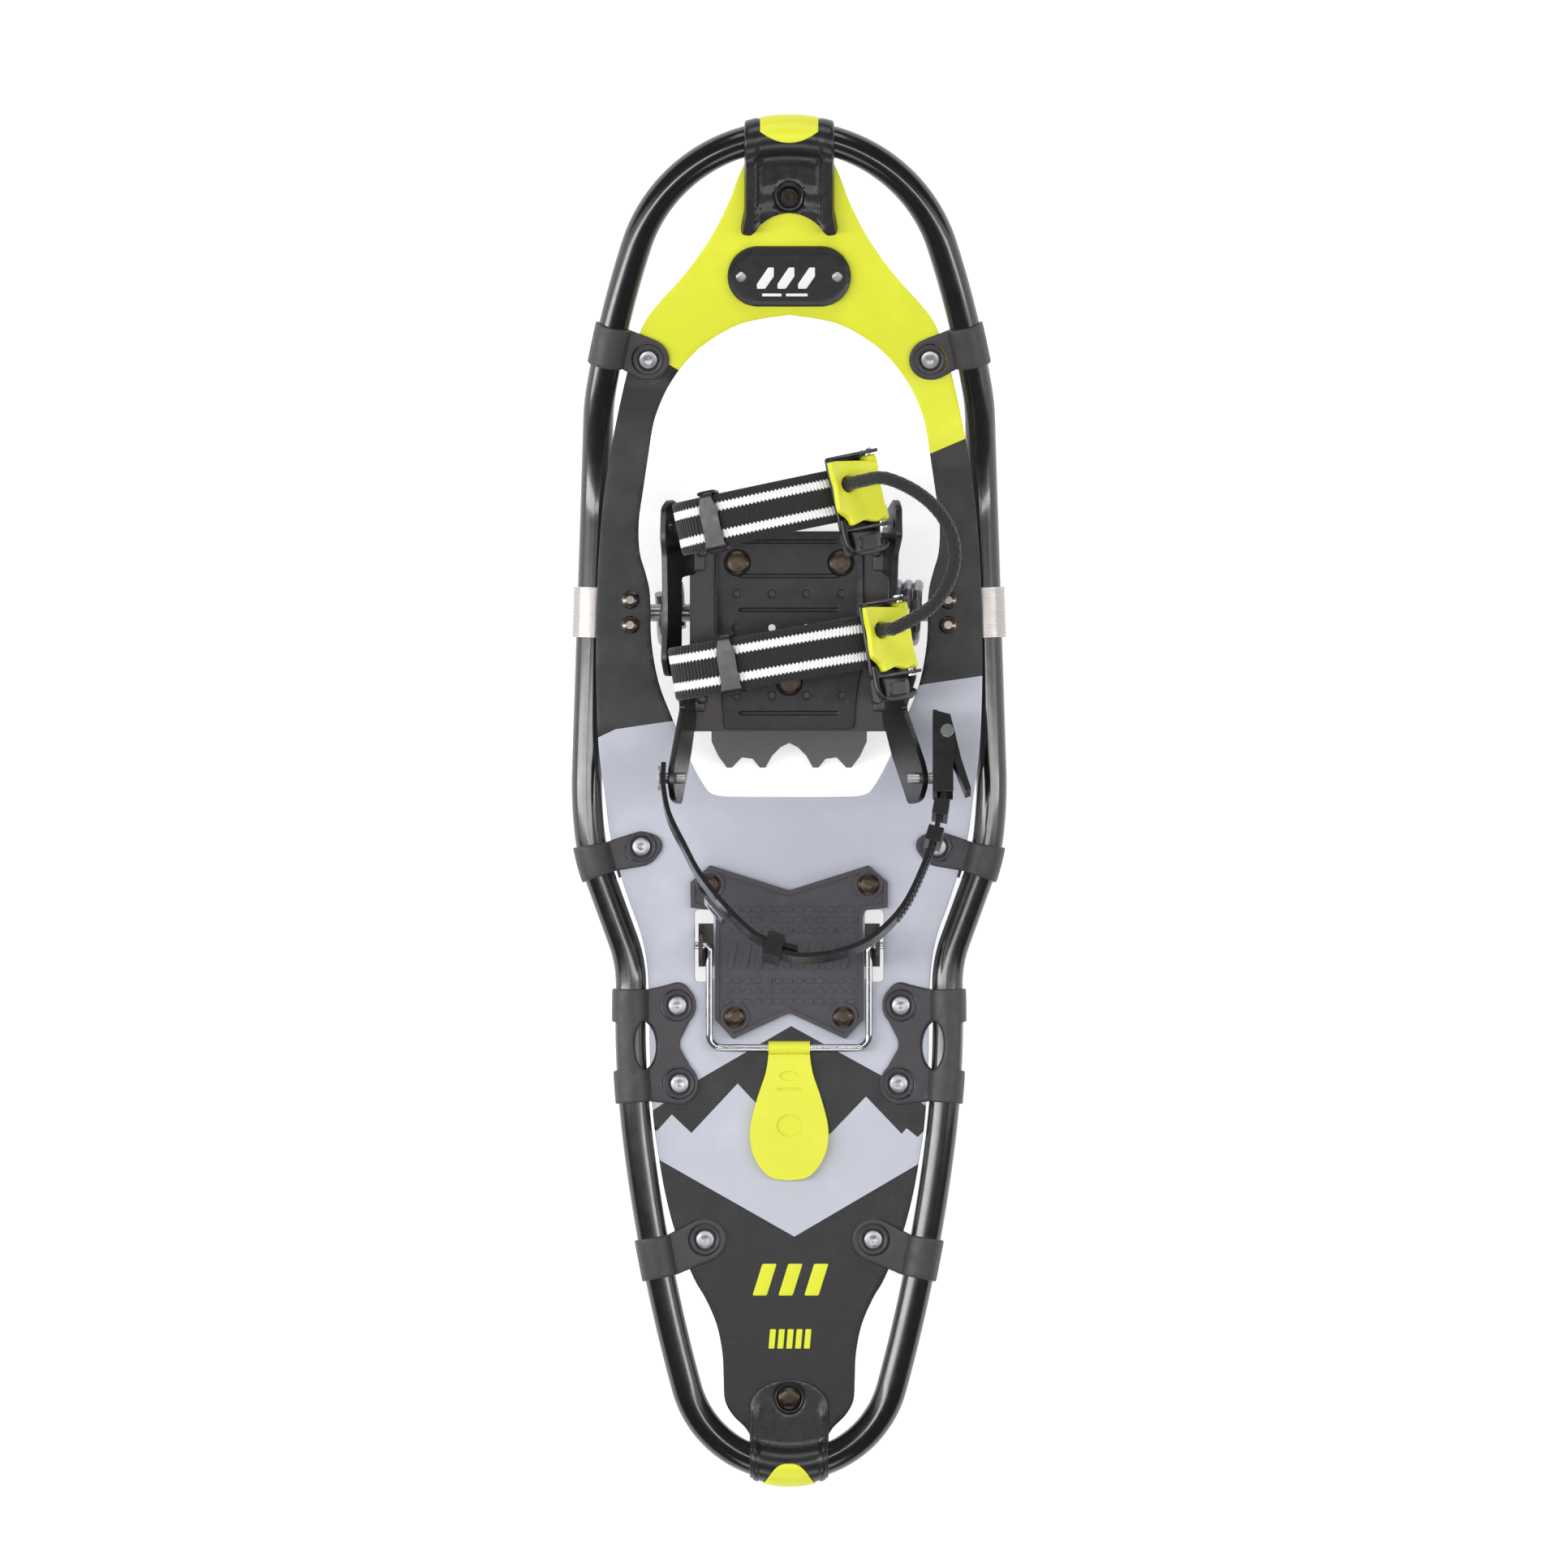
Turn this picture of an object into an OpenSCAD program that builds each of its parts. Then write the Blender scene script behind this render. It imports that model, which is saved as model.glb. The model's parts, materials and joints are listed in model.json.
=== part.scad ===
// Tubular snowshoe: bent tube frame, sheet deck held by clips, pivoting binding with toe crampon,
// heel plate with heel crampon and a folding heel lift. +X right, +Y toe, +Z up, millimetres.

/* [Frame] */
// Outside diameter of the frame tube
tube_d = 14.3; // [13.5:0.1:14.6]
// Wall of the frame tube
tube_wall = 1.2; // [0.8:0.1:2]
// Height of the tube axis over the crampon points
axis_h = 36; // [36:0.5:44]
// Upturn of the toe in degrees
toe_up = 14; // [10:1:16]
// Radius of the toe bow
toe_r = 74; // [73:0.5:75]

/* [Deck] */
// Thickness of the deck sheet
deck_t = 2.4; // [1.6:0.2:2.6]
// Height of the middle of the deck over the tube axis beside the binding
deck_rise = 10.4; // [10.2:0.1:11]

/* [Binding] */
// Distance of the pivot axle ahead of the origin
pivot_y = 88; // [87:0.5:89]
// Diameter of the pivot axle
axle_d = 8; // [6:0.5:8]
// Half width of the toe crampon base
base_x = 46; // [44:0.5:47]
// Thickness of the crampon sheet
sheet = 2; // [1.5:0.1:2.5]
// Width of the webbing straps
web_w = 24; // [20:1:25]

/* [Heel] */
// Distance of the heel lift axis behind the origin
lift_y = 66.2; // [65:0.1:67]
// Diameter of the heel lift wire
wire_d = 3.4; // [2.8:0.1:3.5]

/* [Hidden] */
$fn = 48;

r = tube_d / 2;
eps = 0.05;
dt = deck_t / 2;
toe_len = 307.6;

// One side of the frame from the toe to the tail. "t" turns right by an angle with a radius
// (left when the radius is negative), "l" is straight, "v" bends upwards, "roll" turns the plane.
h_toe = 88.2;
up_a = asin(sin(h_toe) * sin(toe_up));
h_side = 180 - atan(tan(180 - h_toe) * cos(toe_up));
h_flat = atan2(sin(h_toe) * cos(toe_up), cos(h_toe));
turns = h_flat + 8.4 + 13.5 - 21.7 + 8.7 + 8.3;
PLAN = [["l", 115.6], ["t", 200, 8.4], ["t", 88, 13.5], ["l", 31.3], ["t", -60, 21.7],
  ["t", 469, 8.7], ["t", 803, 8.3]];
TOE = [["t", toe_r, 72.4], ["t", 500, 8], ["t", 110, 7.8], ["l", 10.8]];
function go(p, g) = g[0] == "l"
  ? [p[0] + g[1] * cos(p[2]), p[1] - g[1] * sin(p[2]), p[2]]
  : let (a = g[1] > 0 ? g[2] : -g[2])
    [p[0] + g[1] * (sin(p[2] + a) - sin(p[2])), p[1] + g[1] * (cos(p[2] + a) - cos(p[2])), p[2] + a];
function walk(list, p, i = 0) = i == len(list) ? p : walk(list, go(p, list[i]), i + 1);
toe_end = walk(TOE, [0, 0, 0]);
bend_r = 150;
bend_run = bend_r * sin(up_a);
toe_z = axis_h - toe_end[1] * sin(toe_up) + bend_r * (1 - cos(up_a));
flat_start = [toe_end[0] + bend_run * cos(h_flat), toe_len + toe_end[1] * cos(toe_up)
  - bend_run * sin(h_flat), h_flat];
tail_start = walk(PLAN, flat_start);
tail_r = tail_start[0] / sin(tail_start[2]);
tail_y = tail_start[1] - tail_r * cos(tail_start[2]) - tail_r;
PATH = concat(TOE, [["roll", -atan(tan(toe_up) * cos(h_toe))], ["v", bend_r, up_a]], PLAN,
  [["t", tail_r, 180 - tail_start[2]]]);
function seg_len(g) = g[0] == "l" ? g[1] : g[0] == "roll" ? 0 : abs(g[1]) * g[2] * PI / 180;
function sum_len(i) = i < 0 ? 0 : seg_len(PATH[i]) + sum_len(i - 1);
path_len = sum_len(len(PATH) - 1);

// Moves children along a share of one segment
module step(g, share) {
  if (g[0] == "l") translate([g[1] * share, 0, 0]) children();
  if (g[0] == "t") translate([0, -g[1], 0]) rotate([0, 0, -sign(g[1]) * g[2] * share])
    translate([0, g[1], 0]) children();
  if (g[0] == "v") translate([0, 0, g[1]]) rotate([0, -g[2] * share, 0])
    translate([0, 0, -g[1]]) children();
  if (g[0] == "roll") rotate([g[1], 0, 0]) children();
}
// Sweeps a 2D section (x = outwards, y = up) along a share of one segment
module stretch(g, share) {
  a = g[0] == "t" || g[0] == "v" ? g[2] * share : 0;
  if (g[0] == "l") rotate([90, 0, 90]) linear_extrude(g[1] * share) children();
  if (g[0] == "t" && g[1] > 0) translate([0, -g[1], 0]) rotate([0, 0, 90 - a])
    rotate_extrude(angle = a, $fn = 180) translate([g[1], 0]) children();
  if (g[0] == "t" && g[1] < 0) translate([0, -g[1], 0]) rotate([0, 0, -90])
    rotate_extrude(angle = a, $fn = 180) translate([-g[1], 0]) mirror([1, 0]) children();
  if (g[0] == "v") translate([0, 0, g[1]])
    multmatrix([[0, 1, 0, 0], [0, 0, -1, 0], [-1, 0, 0, 0], [0, 0, 0, 1]])
    rotate_extrude(angle = a, $fn = 180) translate([g[1], 0]) mirror([1, 0]) rotate(-90) children();
}
module along(s0, s1, i = 0, s = 0) {
  if (i < len(PATH) && s < s1) {
    n = seg_len(PATH[i]);
    a = max(s0, s) - s;
    b = min(s1, s + n) - s;
    if (n > 0 && b - a > 0.01) step(PATH[i], a / n) stretch(PATH[i], (b - a) / n) children();
    step(PATH[i], 1) along(s0, s1, i + 1, s + n) children();
  }
}
module at_path(d, i = 0, s = 0) {
  n = seg_len(PATH[i]);
  if (d <= s + n || i == len(PATH) - 1) step(PATH[i], n > 0 ? (d - s) / n : 1) children();
  else step(PATH[i], 1) at_path(d, i + 1, s + n) children();
}
// The frame of the upturned toe: X right, Y forward and up, origin on the tube axis at the tip
module toe_frame() {
  translate([0, toe_len, toe_z]) rotate([toe_up, 0, 0]) children();
}
module side(k) {
  mirror([k < 0 ? 1 : 0, 0, 0]) toe_frame() children();
}
module ring2d(ri, ro) {
  difference() {
    circle(ro);
    circle(ri);
  }
}
// Smooth curve through control points
function cr(a, b, c, d, t) = 0.5 * (2 * b + (c - a) * t + (2 * a - 5 * b + 4 * c - d) * t * t
  + (3 * b - a - 3 * c + d) * t * t * t);
function smooth(p, n) = concat([for (i = [0:len(p) - 2]) for (k = [0:n - 1])
  cr(p[max(i - 1, 0)], p[i], p[i + 1], p[min(i + 2, len(p) - 1)], k / n)], [p[len(p) - 1]]);
function rev(p) = [for (i = [len(p) - 1:-1:0]) p[i]];
function flip(p) = [for (q = rev(p)) [-q[0], q[1]]];
function unit(v) = v / norm(v);
function tang(p, i) = unit(p[min(i + 1, len(p) - 1)] - p[max(i - 1, 0)]);
function shift(p, d) = [for (i = [0:len(p) - 1]) p[i] + d * [-tang(p, i)[1], tang(p, i)[0]]];
// Closed strip of thickness t with its middle on the points p
module strip2d(p, t) {
  polygon(concat(shift(p, t / 2), rev(shift(p, -t / 2))));
}
// Tube swept over 3D points with round rings; up is never along the points
module swept(p, rad, n, up = [0, 0, 1]) {
  m = len(p);
  rings = [for (i = [0:m - 1]) let (t = tang(p, i), u = unit(cross(up, t)), v = cross(t, u))
    for (k = [0:n - 1]) p[i] + rad * (cos(360 * k / n) * u + sin(360 * k / n) * v)];
  polyhedron(rings, concat([[for (k = [0:n - 1]) k]],
    [for (i = [0:m - 2]) for (k = [0:n - 1])
      [i * n + k, (i + 1) * n + k, (i + 1) * n + (k + 1) % n, i * n + (k + 1) % n]],
    [[for (k = [n - 1:-1:0]) (m - 1) * n + k]]));
}
module pin_head(rad, h) {
  rotate_extrude() polygon([[0, 0], [rad, 0], [rad, h * 0.45], [rad * 0.8, h * 0.85],
    [rad * 0.45, h], [0, h]]);
}
// Rivet along Z through a stack from z0 to z1, heads outside
module rivet(z0, z1, shank, head, h, low = 0) {
  translate([0, 0, z0]) cylinder(r = shank, h = z1 - z0);
  translate([0, 0, z1]) pin_head(head, h);
  translate([0, 0, z0]) mirror([0, 0, 1]) pin_head(low > 0 ? low : head, h * 0.8);
}

// --- Frame -------------------------------------------------------------------------------
// Bow at the toe or tail, a degrees to each side of the middle
module bow(rad, a) {
  translate([0, -rad, 0]) rotate([0, 0, 90 - a]) rotate_extrude(angle = 2 * a, $fn = 180)
    translate([rad, 0]) children();
}
// The tube is drawn bend by bend, a hair (0.004 mm) apart
module frame_tube() {
  hair = 0.004;
  color("#15161a") {
    toe_frame() bow(toe_r, TOE[0][2] / 5) ring2d(r - tube_wall, r);
    for (k = [-1, 1]) for (i = [0:len(PATH) - 1]) if (seg_len(PATH[i]) > 0) let (
      start = i == 0 ? sum_len(0) / 5 : sum_len(i - 1),
      end = i == len(PATH) - 1 ? path_len - 0.3 : sum_len(i),
      parts = i == 0 ? 4 : i == len(PATH) - 1 ? 3 : 1, run = (end - start) / parts)
      for (j = [0:parts - 1]) side(k) along(start + j * run + hair, start + (j + 1) * run)
        ring2d(r - tube_wall, r);
  }
}
module frame_splice() {
  color("#8d8f92") tail_place() bow(tail_r, 15) circle(r - tube_wall - 0.1);
}

// --- Deck --------------------------------------------------------------------------------
edge = [[17, 297.6], [20.2, 295.4], [24, 287.4], [27.5, 278], [32, 268.6], [37.3, 259.2],
  [43.9, 249.8], [51.5, 240.4], [60.2, 231], [67, 222], [71, 212], [74, 202.8], [77.8, 187],
  [82.2, 165], [85.2, 146], [87.2, 127.5], [88.9, 100], [89.4, 60], [88.1, 25], [85.2, 2],
  [83, -15], [79.2, -30], [73.7, -47], [68.8, -60.6], [66, -74], [64.9, -92], [64.5, -120],
  [63, -146], [60.5, -164], [57.3, -182], [52.5, -200], [44.4, -220], [38.7, -230],
  [33.6, -242], [31, -255], [30.4, -267], [29.8, -277], [26, -284], [20.4, -289.6], [17, -295.2]];
hole = [[0, 225.5], [22, 221.6], [39, 212.2], [48.5, 203.2], [55.4, 193.5], [60, 183.9],
  [63, 174.5], [65, 162], [67.4, 146], [69.6, 130], [69.2, 116], [66.4, 106], [64.4, 96],
  [63.8, 75], [60.5, 56], [54.5, 40], [47, 22], [39.5, 8], [34, 3.4], [20, 2.6], [0, 2.5]];
function deck_z(y) = y > 195 ? toe_z - (toe_len - y) * tan(toe_up)
  : y > 178 ? axis_h + 12.2 - (y - 178) / 17 * (axis_h + 12.2 - deck_z(195.01))
  : y > 120 ? axis_h + deck_rise + (1 - cos((y - 120) / 58 * 180)) / 2 * (12.2 - deck_rise)
  : y > 38 ? axis_h + deck_rise
  : y > -12 ? axis_h + (1 - cos((y + 12) / 50 * 180)) / 2 * deck_rise
  : axis_h;
module deck() {
  ys = concat([for (y = [-310, -12]) y], [for (y = [-8:4:38]) y], [for (y = [38, 120]) y],
    [for (y = [126:6:178]) y], [195.01, 310]);
  color("#d9e021") intersection() {
    difference() {
      linear_extrude(160) polygon(concat(smooth(edge, 4), flip(smooth(edge, 4))));
      translate([0, 0, -1]) linear_extrude(170) polygon(concat(smooth(hole, 4), flip(smooth(hole, 4))));
      for (k = [-1, 1]) translate([k * 39.4 - 4.3, -83, 0]) cube([8.6, 33.4, 100]);
      for (q = clip_spots) for (k = [-1, 1]) side(k) at_path(q[0]) translate([q[1], -q[2], -5])
        cylinder(r = 2.5, h = 10);
      for (q = dome_spots) for (k = [-1, 1]) translate([k * q[0], q[1], 30]) cylinder(r = 2.3, h = 30);
      for (q = heel_spots) translate([q[0], q[1], 30]) cylinder(r = 2.5, h = 20);
      toe_frame() translate([0, screw_y, -5]) cylinder(r = 2.6, h = 10);
      translate([0, tail_rivet_y, 30]) cylinder(r = 2.6, h = 12);
      for (k = [-1, 1]) toe_frame() translate([k * 22.2, badge_y, -5]) cylinder(r = 1.6, h = 10);
    }
    rotate([90, 0, 90]) translate([0, 0, -110]) linear_extrude(220)
      polygon(concat([for (y = ys) [y, deck_z(y) - dt]], [for (y = rev(ys)) [y, deck_z(y) + dt]]));
  }
}

// --- Toe and tail clips ------------------------------------------------------------------
screw_y = -28;
tail_rivet_y = -276;
badge_y = -66;
clip_ro = r + 2.4;
module toe_clip() {
  color("#1c1d20") toe_frame() difference() {
    union() {
      intersection() {
        bow(toe_r, 20) circle(clip_ro);
        translate([-20.7, -20, -20]) cube([41.4, 40, 40]);
      }
      translate([0, 0, dt]) linear_extrude(3.4) toe_plate();
      translate([0, 0, -dt - 2.4]) linear_extrude(2.4) toe_plate();
      translate([0, 0, -dt - 1]) linear_extrude(2 * dt + 2)
        polygon([[-20.7, 0], [20.7, 0], [20.7, -9], [-20.7, -9]]);
      for (k = [-1, 1]) translate([0, 0, dt]) linear_extrude(6.2)
        polygon([[k * 14.7, -2], [k * 20.7, -4], [k * 20.7, -34], [k * 22.4, -42.6],
          [k * 18.6, -41.4], [k * 15.2, -30]]);
    }
    bow(toe_r, 30) circle(r + eps);
    translate([-30, -60, -dt]) cube([60, 52, 2 * dt]);
    translate([0, screw_y, -10]) cylinder(r = 2.6, h = 20);
    translate([0, screw_y, dt + 1.6]) cylinder(r = 5.3, h = 10);
  }
}
module toe_plate() {
  difference() {
    polygon([[-20.7, -5], [20.7, -5], [20.7, -34], [22.4, -42.9], [-22.4, -42.9], [-20.7, -34]]);
    translate([0, -58]) circle(r = 22, $fn = 72);
  }
}
module toe_clip_tab() {
  color("#d9e021") toe_frame() intersection() {
    bow(toe_r, 12) tab2d(clip_ro, 112);
    translate([-13.2, -20, -20]) cube([26.4, 40, 40]);
  }
}
// Skin over the front and top of a clip ring, from 30 degrees below to a over the middle
module tab2d(ri, a) {
  intersection() {
    ring2d(ri, ri + 0.7);
    polygon(concat([[0, 0]], [for (q = [-30:14:a]) 30 * [cos(q), sin(q)]]));
  }
}
module toe_clip_screw() {
  color("#3a3b3f") toe_frame() translate([0, screw_y, 0]) difference() {
    union() {
      translate([0, 0, dt + 1.6]) cylinder(r1 = 4.3, r2 = 3.9, h = 1.8);
      translate([0, 0, -dt - 2.4]) cylinder(r = 2.5, h = 2 * dt + 4);
      translate([0, 0, -dt - 4]) cylinder(r = 4.2, h = 1.6);
    }
    translate([0, 0, dt + 2.2]) cylinder(r = 1.9, h = 3, $fn = 6);
  }
}
// The frame of the tail: origin on the tube axis at the tip, +Y away from the toe
module tail_place() {
  translate([0, tail_y, axis_h]) rotate([0, 0, 180]) children();
}
module tail_clip() {
  color("#1c1d20") tail_place() difference() {
    union() {
      intersection() {
        bow(tail_r, 28) circle(clip_ro - 0.3);
        translate([-18.3, -20, -20]) cube([36.6, 40, 40]);
      }
      for (z = [dt, -dt - 2.4]) translate([0, 0, z]) linear_extrude(z > 0 ? 3 : 2.4) {
        translate([-18.3, -24]) square([36.6, 20]);
        intersection() {
          translate([0, -22]) circle(r = 18.3, $fn = 72);
          translate([-18.3, -50]) square([36.6, 30]);
        }
      }
      translate([-18.3, -9, -dt - 1]) cube([36.6, 9, 2 * dt + 2]);
    }
    bow(tail_r, 40) circle(r + eps);
    translate([-30, -48, -dt]) cube([60, 40, 2 * dt]);
    translate([0, tail_y - tail_rivet_y, -10]) cylinder(r = 2.6, h = 20);
  }
}
module tail_clip_tab() {
  color("#d9e021") tail_place() intersection() {
    bow(tail_r, 20) tab2d(clip_ro - 0.3, 112);
    translate([-12.2, -20, -20]) cube([24.4, 40, 40]);
  }
}
module tail_rivet() {
  color("#9a9b9d") translate([0, tail_rivet_y, axis_h]) rivet(-dt - 2.4, dt + 3, 2.5, 4.9, 1.6);
}

// --- Side clips: distance along the frame, shift along it, distance in from the axis -------
front_s = 142.5;
mid_s = 386.5;
waist_s = 453;
waist_gap = 38;
rear_s = 571;
clip_spots = [[front_s, 2.5, 18.8], [mid_s, -3, 22.6], [waist_s, 0, 21.8],
  [waist_s + waist_gap, 0, 21.8], [rear_s, -4, 23.8]];
module ear2d(w, l, tip) {
  difference() {
    polygon([[-9.6, -r - 0.65], [-9.6, -10], [-w, -14], [-w, -l + 8], [-w + 5, -l], [w - 5, -l],
      [w, -l + 8], [w, -14], [9.6, -10], [9.6, -r - 0.65]]);
    translate([tip[0], -tip[1]]) circle(2.5);
  }
}
module ears(q, w, l) {
  at_path(q[0]) {
    translate([0, 0, dt]) linear_extrude(1.7) ear2d(w, l, [q[1], q[2]]);
    translate([0, 0, -dt - 1.7]) linear_extrude(1.7) ear2d(w - 2, l - 2, [q[1], q[2]]);
    translate([q[1], -q[2], dt]) linear_extrude(2.6) ring2d(6.4, 8.4);
  }
}
module band(s0, s1) {
  along(s0, s1) difference() {
    ring2d(r + eps, r + 1.4);
    translate([-15, -dt]) square([10, 2 * dt]);
  }
}
module clip(k, q, w, l, back = 9.6, fore = 9.6) {
  side(k) band(q[0] - back, q[0] + fore);
  side(k) ears(q, w, l);
}
module front_clip_left() {
  color("#1b1c1f") clip(-1, clip_spots[0], 13.4, 29);
}
module front_clip_right() {
  color("#1b1c1f") clip(1, clip_spots[0], 13.4, 29);
}
module mid_clip_left() {
  color("#1b1c1f") clip(-1, clip_spots[1], 13.4, 33, 10.6, 4.7);
}
module mid_clip_right() {
  color("#1b1c1f") clip(1, clip_spots[1], 13.4, 33, 10.6, 4.7);
}
module rear_clip_left() {
  color("#1b1c1f") clip(-1, clip_spots[4], 11.6, 34);
}
module rear_clip_right() {
  color("#1b1c1f") clip(1, clip_spots[4], 11.6, 34);
}
module waist_clip(k) {
  for (q = [clip_spots[2], clip_spots[3]]) {
    side(k) band(q[0] - 7.3, q[0] + 7.3);
    side(k) ears(q, 10.5, 31);
  }
  side(k) at_path(waist_s + waist_gap / 2) translate([0, 0, dt]) linear_extrude(1.7) difference() {
    translate([-14, -29]) square([28, 29 - r - 0.65]);
    translate([0, -9.6]) scale([1.9, 1]) circle(6.4);
    translate([0, -33]) circle(8);
  }
}
module waist_clip_left() {
  color("#1b1c1f") waist_clip(-1);
}
module waist_clip_right() {
  color("#1b1c1f") waist_clip(1);
}
module clip_rivets() {
  color("#a9aaac") for (q = clip_spots) for (k = [-1, 1]) side(k) at_path(q[0])
    translate([q[1], -q[2], 0]) rivet(-dt - 1.7, dt + 1.7, 2.4, 4.4, 1.3, 4.9);
}

// --- Badge on the toe --------------------------------------------------------------------
module badge_plate() {
  color("#141417") toe_frame() translate([0, badge_y, dt]) difference() {
    union() {
      linear_extrude(1.8) pill2d(57, 28.4);
      linear_extrude(2.3) difference() {
        pill2d(57, 28.4);
        pill2d(54.4, 25.8);
      }
      for (x = [-9, 0, 9]) translate([x, 0, 0]) linear_extrude(2.2)
        polygon([[-6, -5.5], [-2.5, -5.5], [1, -0.5], [1, 3], [-1, 3], [-6, -4]]);
    }
    for (k = [-1, 1]) translate([k * 22.2, 0, -1]) cylinder(r = 1.6, h = 6);
  }
}
module pill2d(w, h) {
  square([w - h, h], center = true);
  for (k = [-1, 1]) translate([k * (w - h) / 2, 0]) circle(h / 2);
}
module badge_rivets() {
  color("#b9babc") toe_frame() for (k = [-1, 1]) translate([k * 22.2, badge_y, 0])
    rivet(-dt, dt + 1.8, 1.5, 2.4, 1);
}

// --- Pivot bands and axle ----------------------------------------------------------------
dome_spots = [[73.6, 93.8], [73.6, 82.2]];
module pivot_band(k) {
  s = 225.9 + 130.3 - pivot_y;
  top = axis_h + deck_rise - dt;
  difference() {
    union() {
      side(k) along(s - 11.6, s + 11.6) ring2d(r + eps, r + 1.5);
      side(k) for (i = [-7:7]) along(s + i * 1.6 - 0.4, s + i * 1.6 + 0.4) ring2d(r + 1.4, r + 1.9);
      translate([k * 78.5 - 10.5, pivot_y - 11.6, top - 2]) cube([21, 23.2, 2]);
      translate([k * 76.4 - 7.8, pivot_y - 8.5, axis_h - 7]) cube([15.6, 17, top - 1 - axis_h + 7]);
    }
    side(k) along(s - 14, s + 14) circle(r + eps);
    translate([0, pivot_y, axis_h]) rotate([0, 90, 0])
      cylinder(r = axle_d / 2 + 0.05, h = 161, center = true);
    for (q = dome_spots) translate([k * q[0], q[1], axis_h + 4.6]) cylinder(r = 2.3, h = 20);
  }
}
module pivot_band_left() {
  color("#b4b5b7") pivot_band(-1);
}
module pivot_band_right() {
  color("#b4b5b7") pivot_band(1);
}
module deck_dome_rivets() {
  top = axis_h + deck_rise + dt;
  color("#5b5c60") for (q = dome_spots) for (k = [-1, 1]) translate([k * q[0], q[1], 0]) {
    translate([0, 0, axis_h + 5]) cylinder(r = 2.2, h = top - axis_h - 5);
    translate([0, 0, top]) pin_head(4.2, 2.4);
  }
}
module pivot_axle() {
  color("#8f9194") translate([0, pivot_y, axis_h]) rotate([0, 90, 0])
    cylinder(r = axle_d / 2, h = 160, center = true);
}

// --- Heel plate, heel crampon and heel lift ----------------------------------------------
heel_spots = [[-36.8, -38], [36.8, -38], [-25.2, -99.4], [25.2, -99.4]];
top_z = axis_h + dt;
module heel2d() {
  half = [[0, -40.6], [36.7, -29], [45.8, -36.9], [45.6, -48.6], [35.4, -49.9], [34, -53],
    [34.4, -100.5], [26, -109.5], [0, -97.4]];
  polygon(concat(half, flip(half)));
}
module heel_plate() {
  color("#202124") difference() {
    union() {
      translate([0, 0, top_z]) linear_extrude(2.2) heel2d();
      intersection() {
        translate([0, 0, top_z]) linear_extrude(3) heel2d();
        difference() {
          translate([-50, -120, top_z]) cube([100, 100, 3]);
          translate([0, 0, top_z - 1]) linear_extrude(5) polygon([[0, -43.2], [35.6, -31.8],
            [43.8, -38.4], [43.6, -46.8], [33.6, -48], [32.2, -52.6], [32.4, -99.8], [25.4, -107],
            [0, -95], [-25.4, -107], [-32.4, -99.8], [-32.2, -52.6], [-33.6, -48], [-43.6, -46.8],
            [-43.8, -38.4], [-35.6, -31.8]]);
        }
      }
      for (i = [-6:6]) for (y = [-49.5, -54.3, -59.1, -82.6, -87.4, -92.2])
        translate([i * 4.8 - 1.5, y - 1.05, top_z]) cube([3, 2.1, 2.8]);
      for (i = [-4:4]) translate([i * 6.6, -71, top_z]) linear_extrude(2.8)
        polygon([[-2.6, -6], [0.2, -6], [2.6, 6], [-0.2, 6]]);
      for (q = heel_spots) translate([q[0], q[1], top_z]) linear_extrude(3.2) circle(6.6);
    }
    for (q = heel_spots) translate([q[0], q[1], top_z - 1]) cylinder(r = 2.5, h = 8);
    for (q = heel_spots) translate([q[0], q[1], top_z + 2.2]) cylinder(r = 5.4, h = 8);
  }
}
module heel_rivets() {
  color("#a2a3a5") for (q = heel_spots) translate([q[0], q[1], axis_h])
    rivet(-dt - sheet, dt + 2.2, 2.4, 4.7, 1.5, 3.3);
}
lift_z = axis_h + 6.6;
module heel_crampon() {
  under = axis_h - dt;
  color("#5c5d61") difference() {
    union() {
      translate([-32, -105, under - sheet]) cube([64, 75, sheet]);
      for (k = [-1, 1]) translate([k * 37.8 - 6.2, -48, under - sheet]) cube([12.4, 18, sheet]);
      for (k = [-1, 1]) {
        translate([k * 36 - 6, -76, under - sheet]) cube([12, 20, sheet]);
        translate([k * 41 - 1, -76, under - sheet]) rotate([90, 0, 90]) linear_extrude(2)
          polygon([[0, 0], [20, 0], [20, 5], [15, 15.2], [5, 15.2], [0, 5]]);
        translate([k * 31 - 1, 0, 0]) rotate([90, 0, 90]) linear_extrude(sheet)
          polygon([[-30, under], [-30, 22], [-38, 0], [-42, 0], [-50, 20], [-60, 20], [-68, 0],
            [-72, 0], [-80, 20], [-89, 20], [-96, 0], [-100, 0], [-105, 14], [-105, under]]);
      }
      translate([0, -103, 0]) rotate([90, 0, 0]) linear_extrude(sheet)
        polygon([[-32, under], [-32, 18], [-22, 4], [-18, 4], [-9, 20], [9, 20], [18, 4], [22, 4],
          [32, 18], [32, under]]);
    }
    for (q = heel_spots) translate([q[0], q[1], 20]) cylinder(r = 2.5, h = 20);
    translate([0, -lift_y, lift_z]) rotate([0, 90, 0])
      cylinder(r = wire_d / 2 + 0.06, h = 100, center = true);
  }
}
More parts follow.
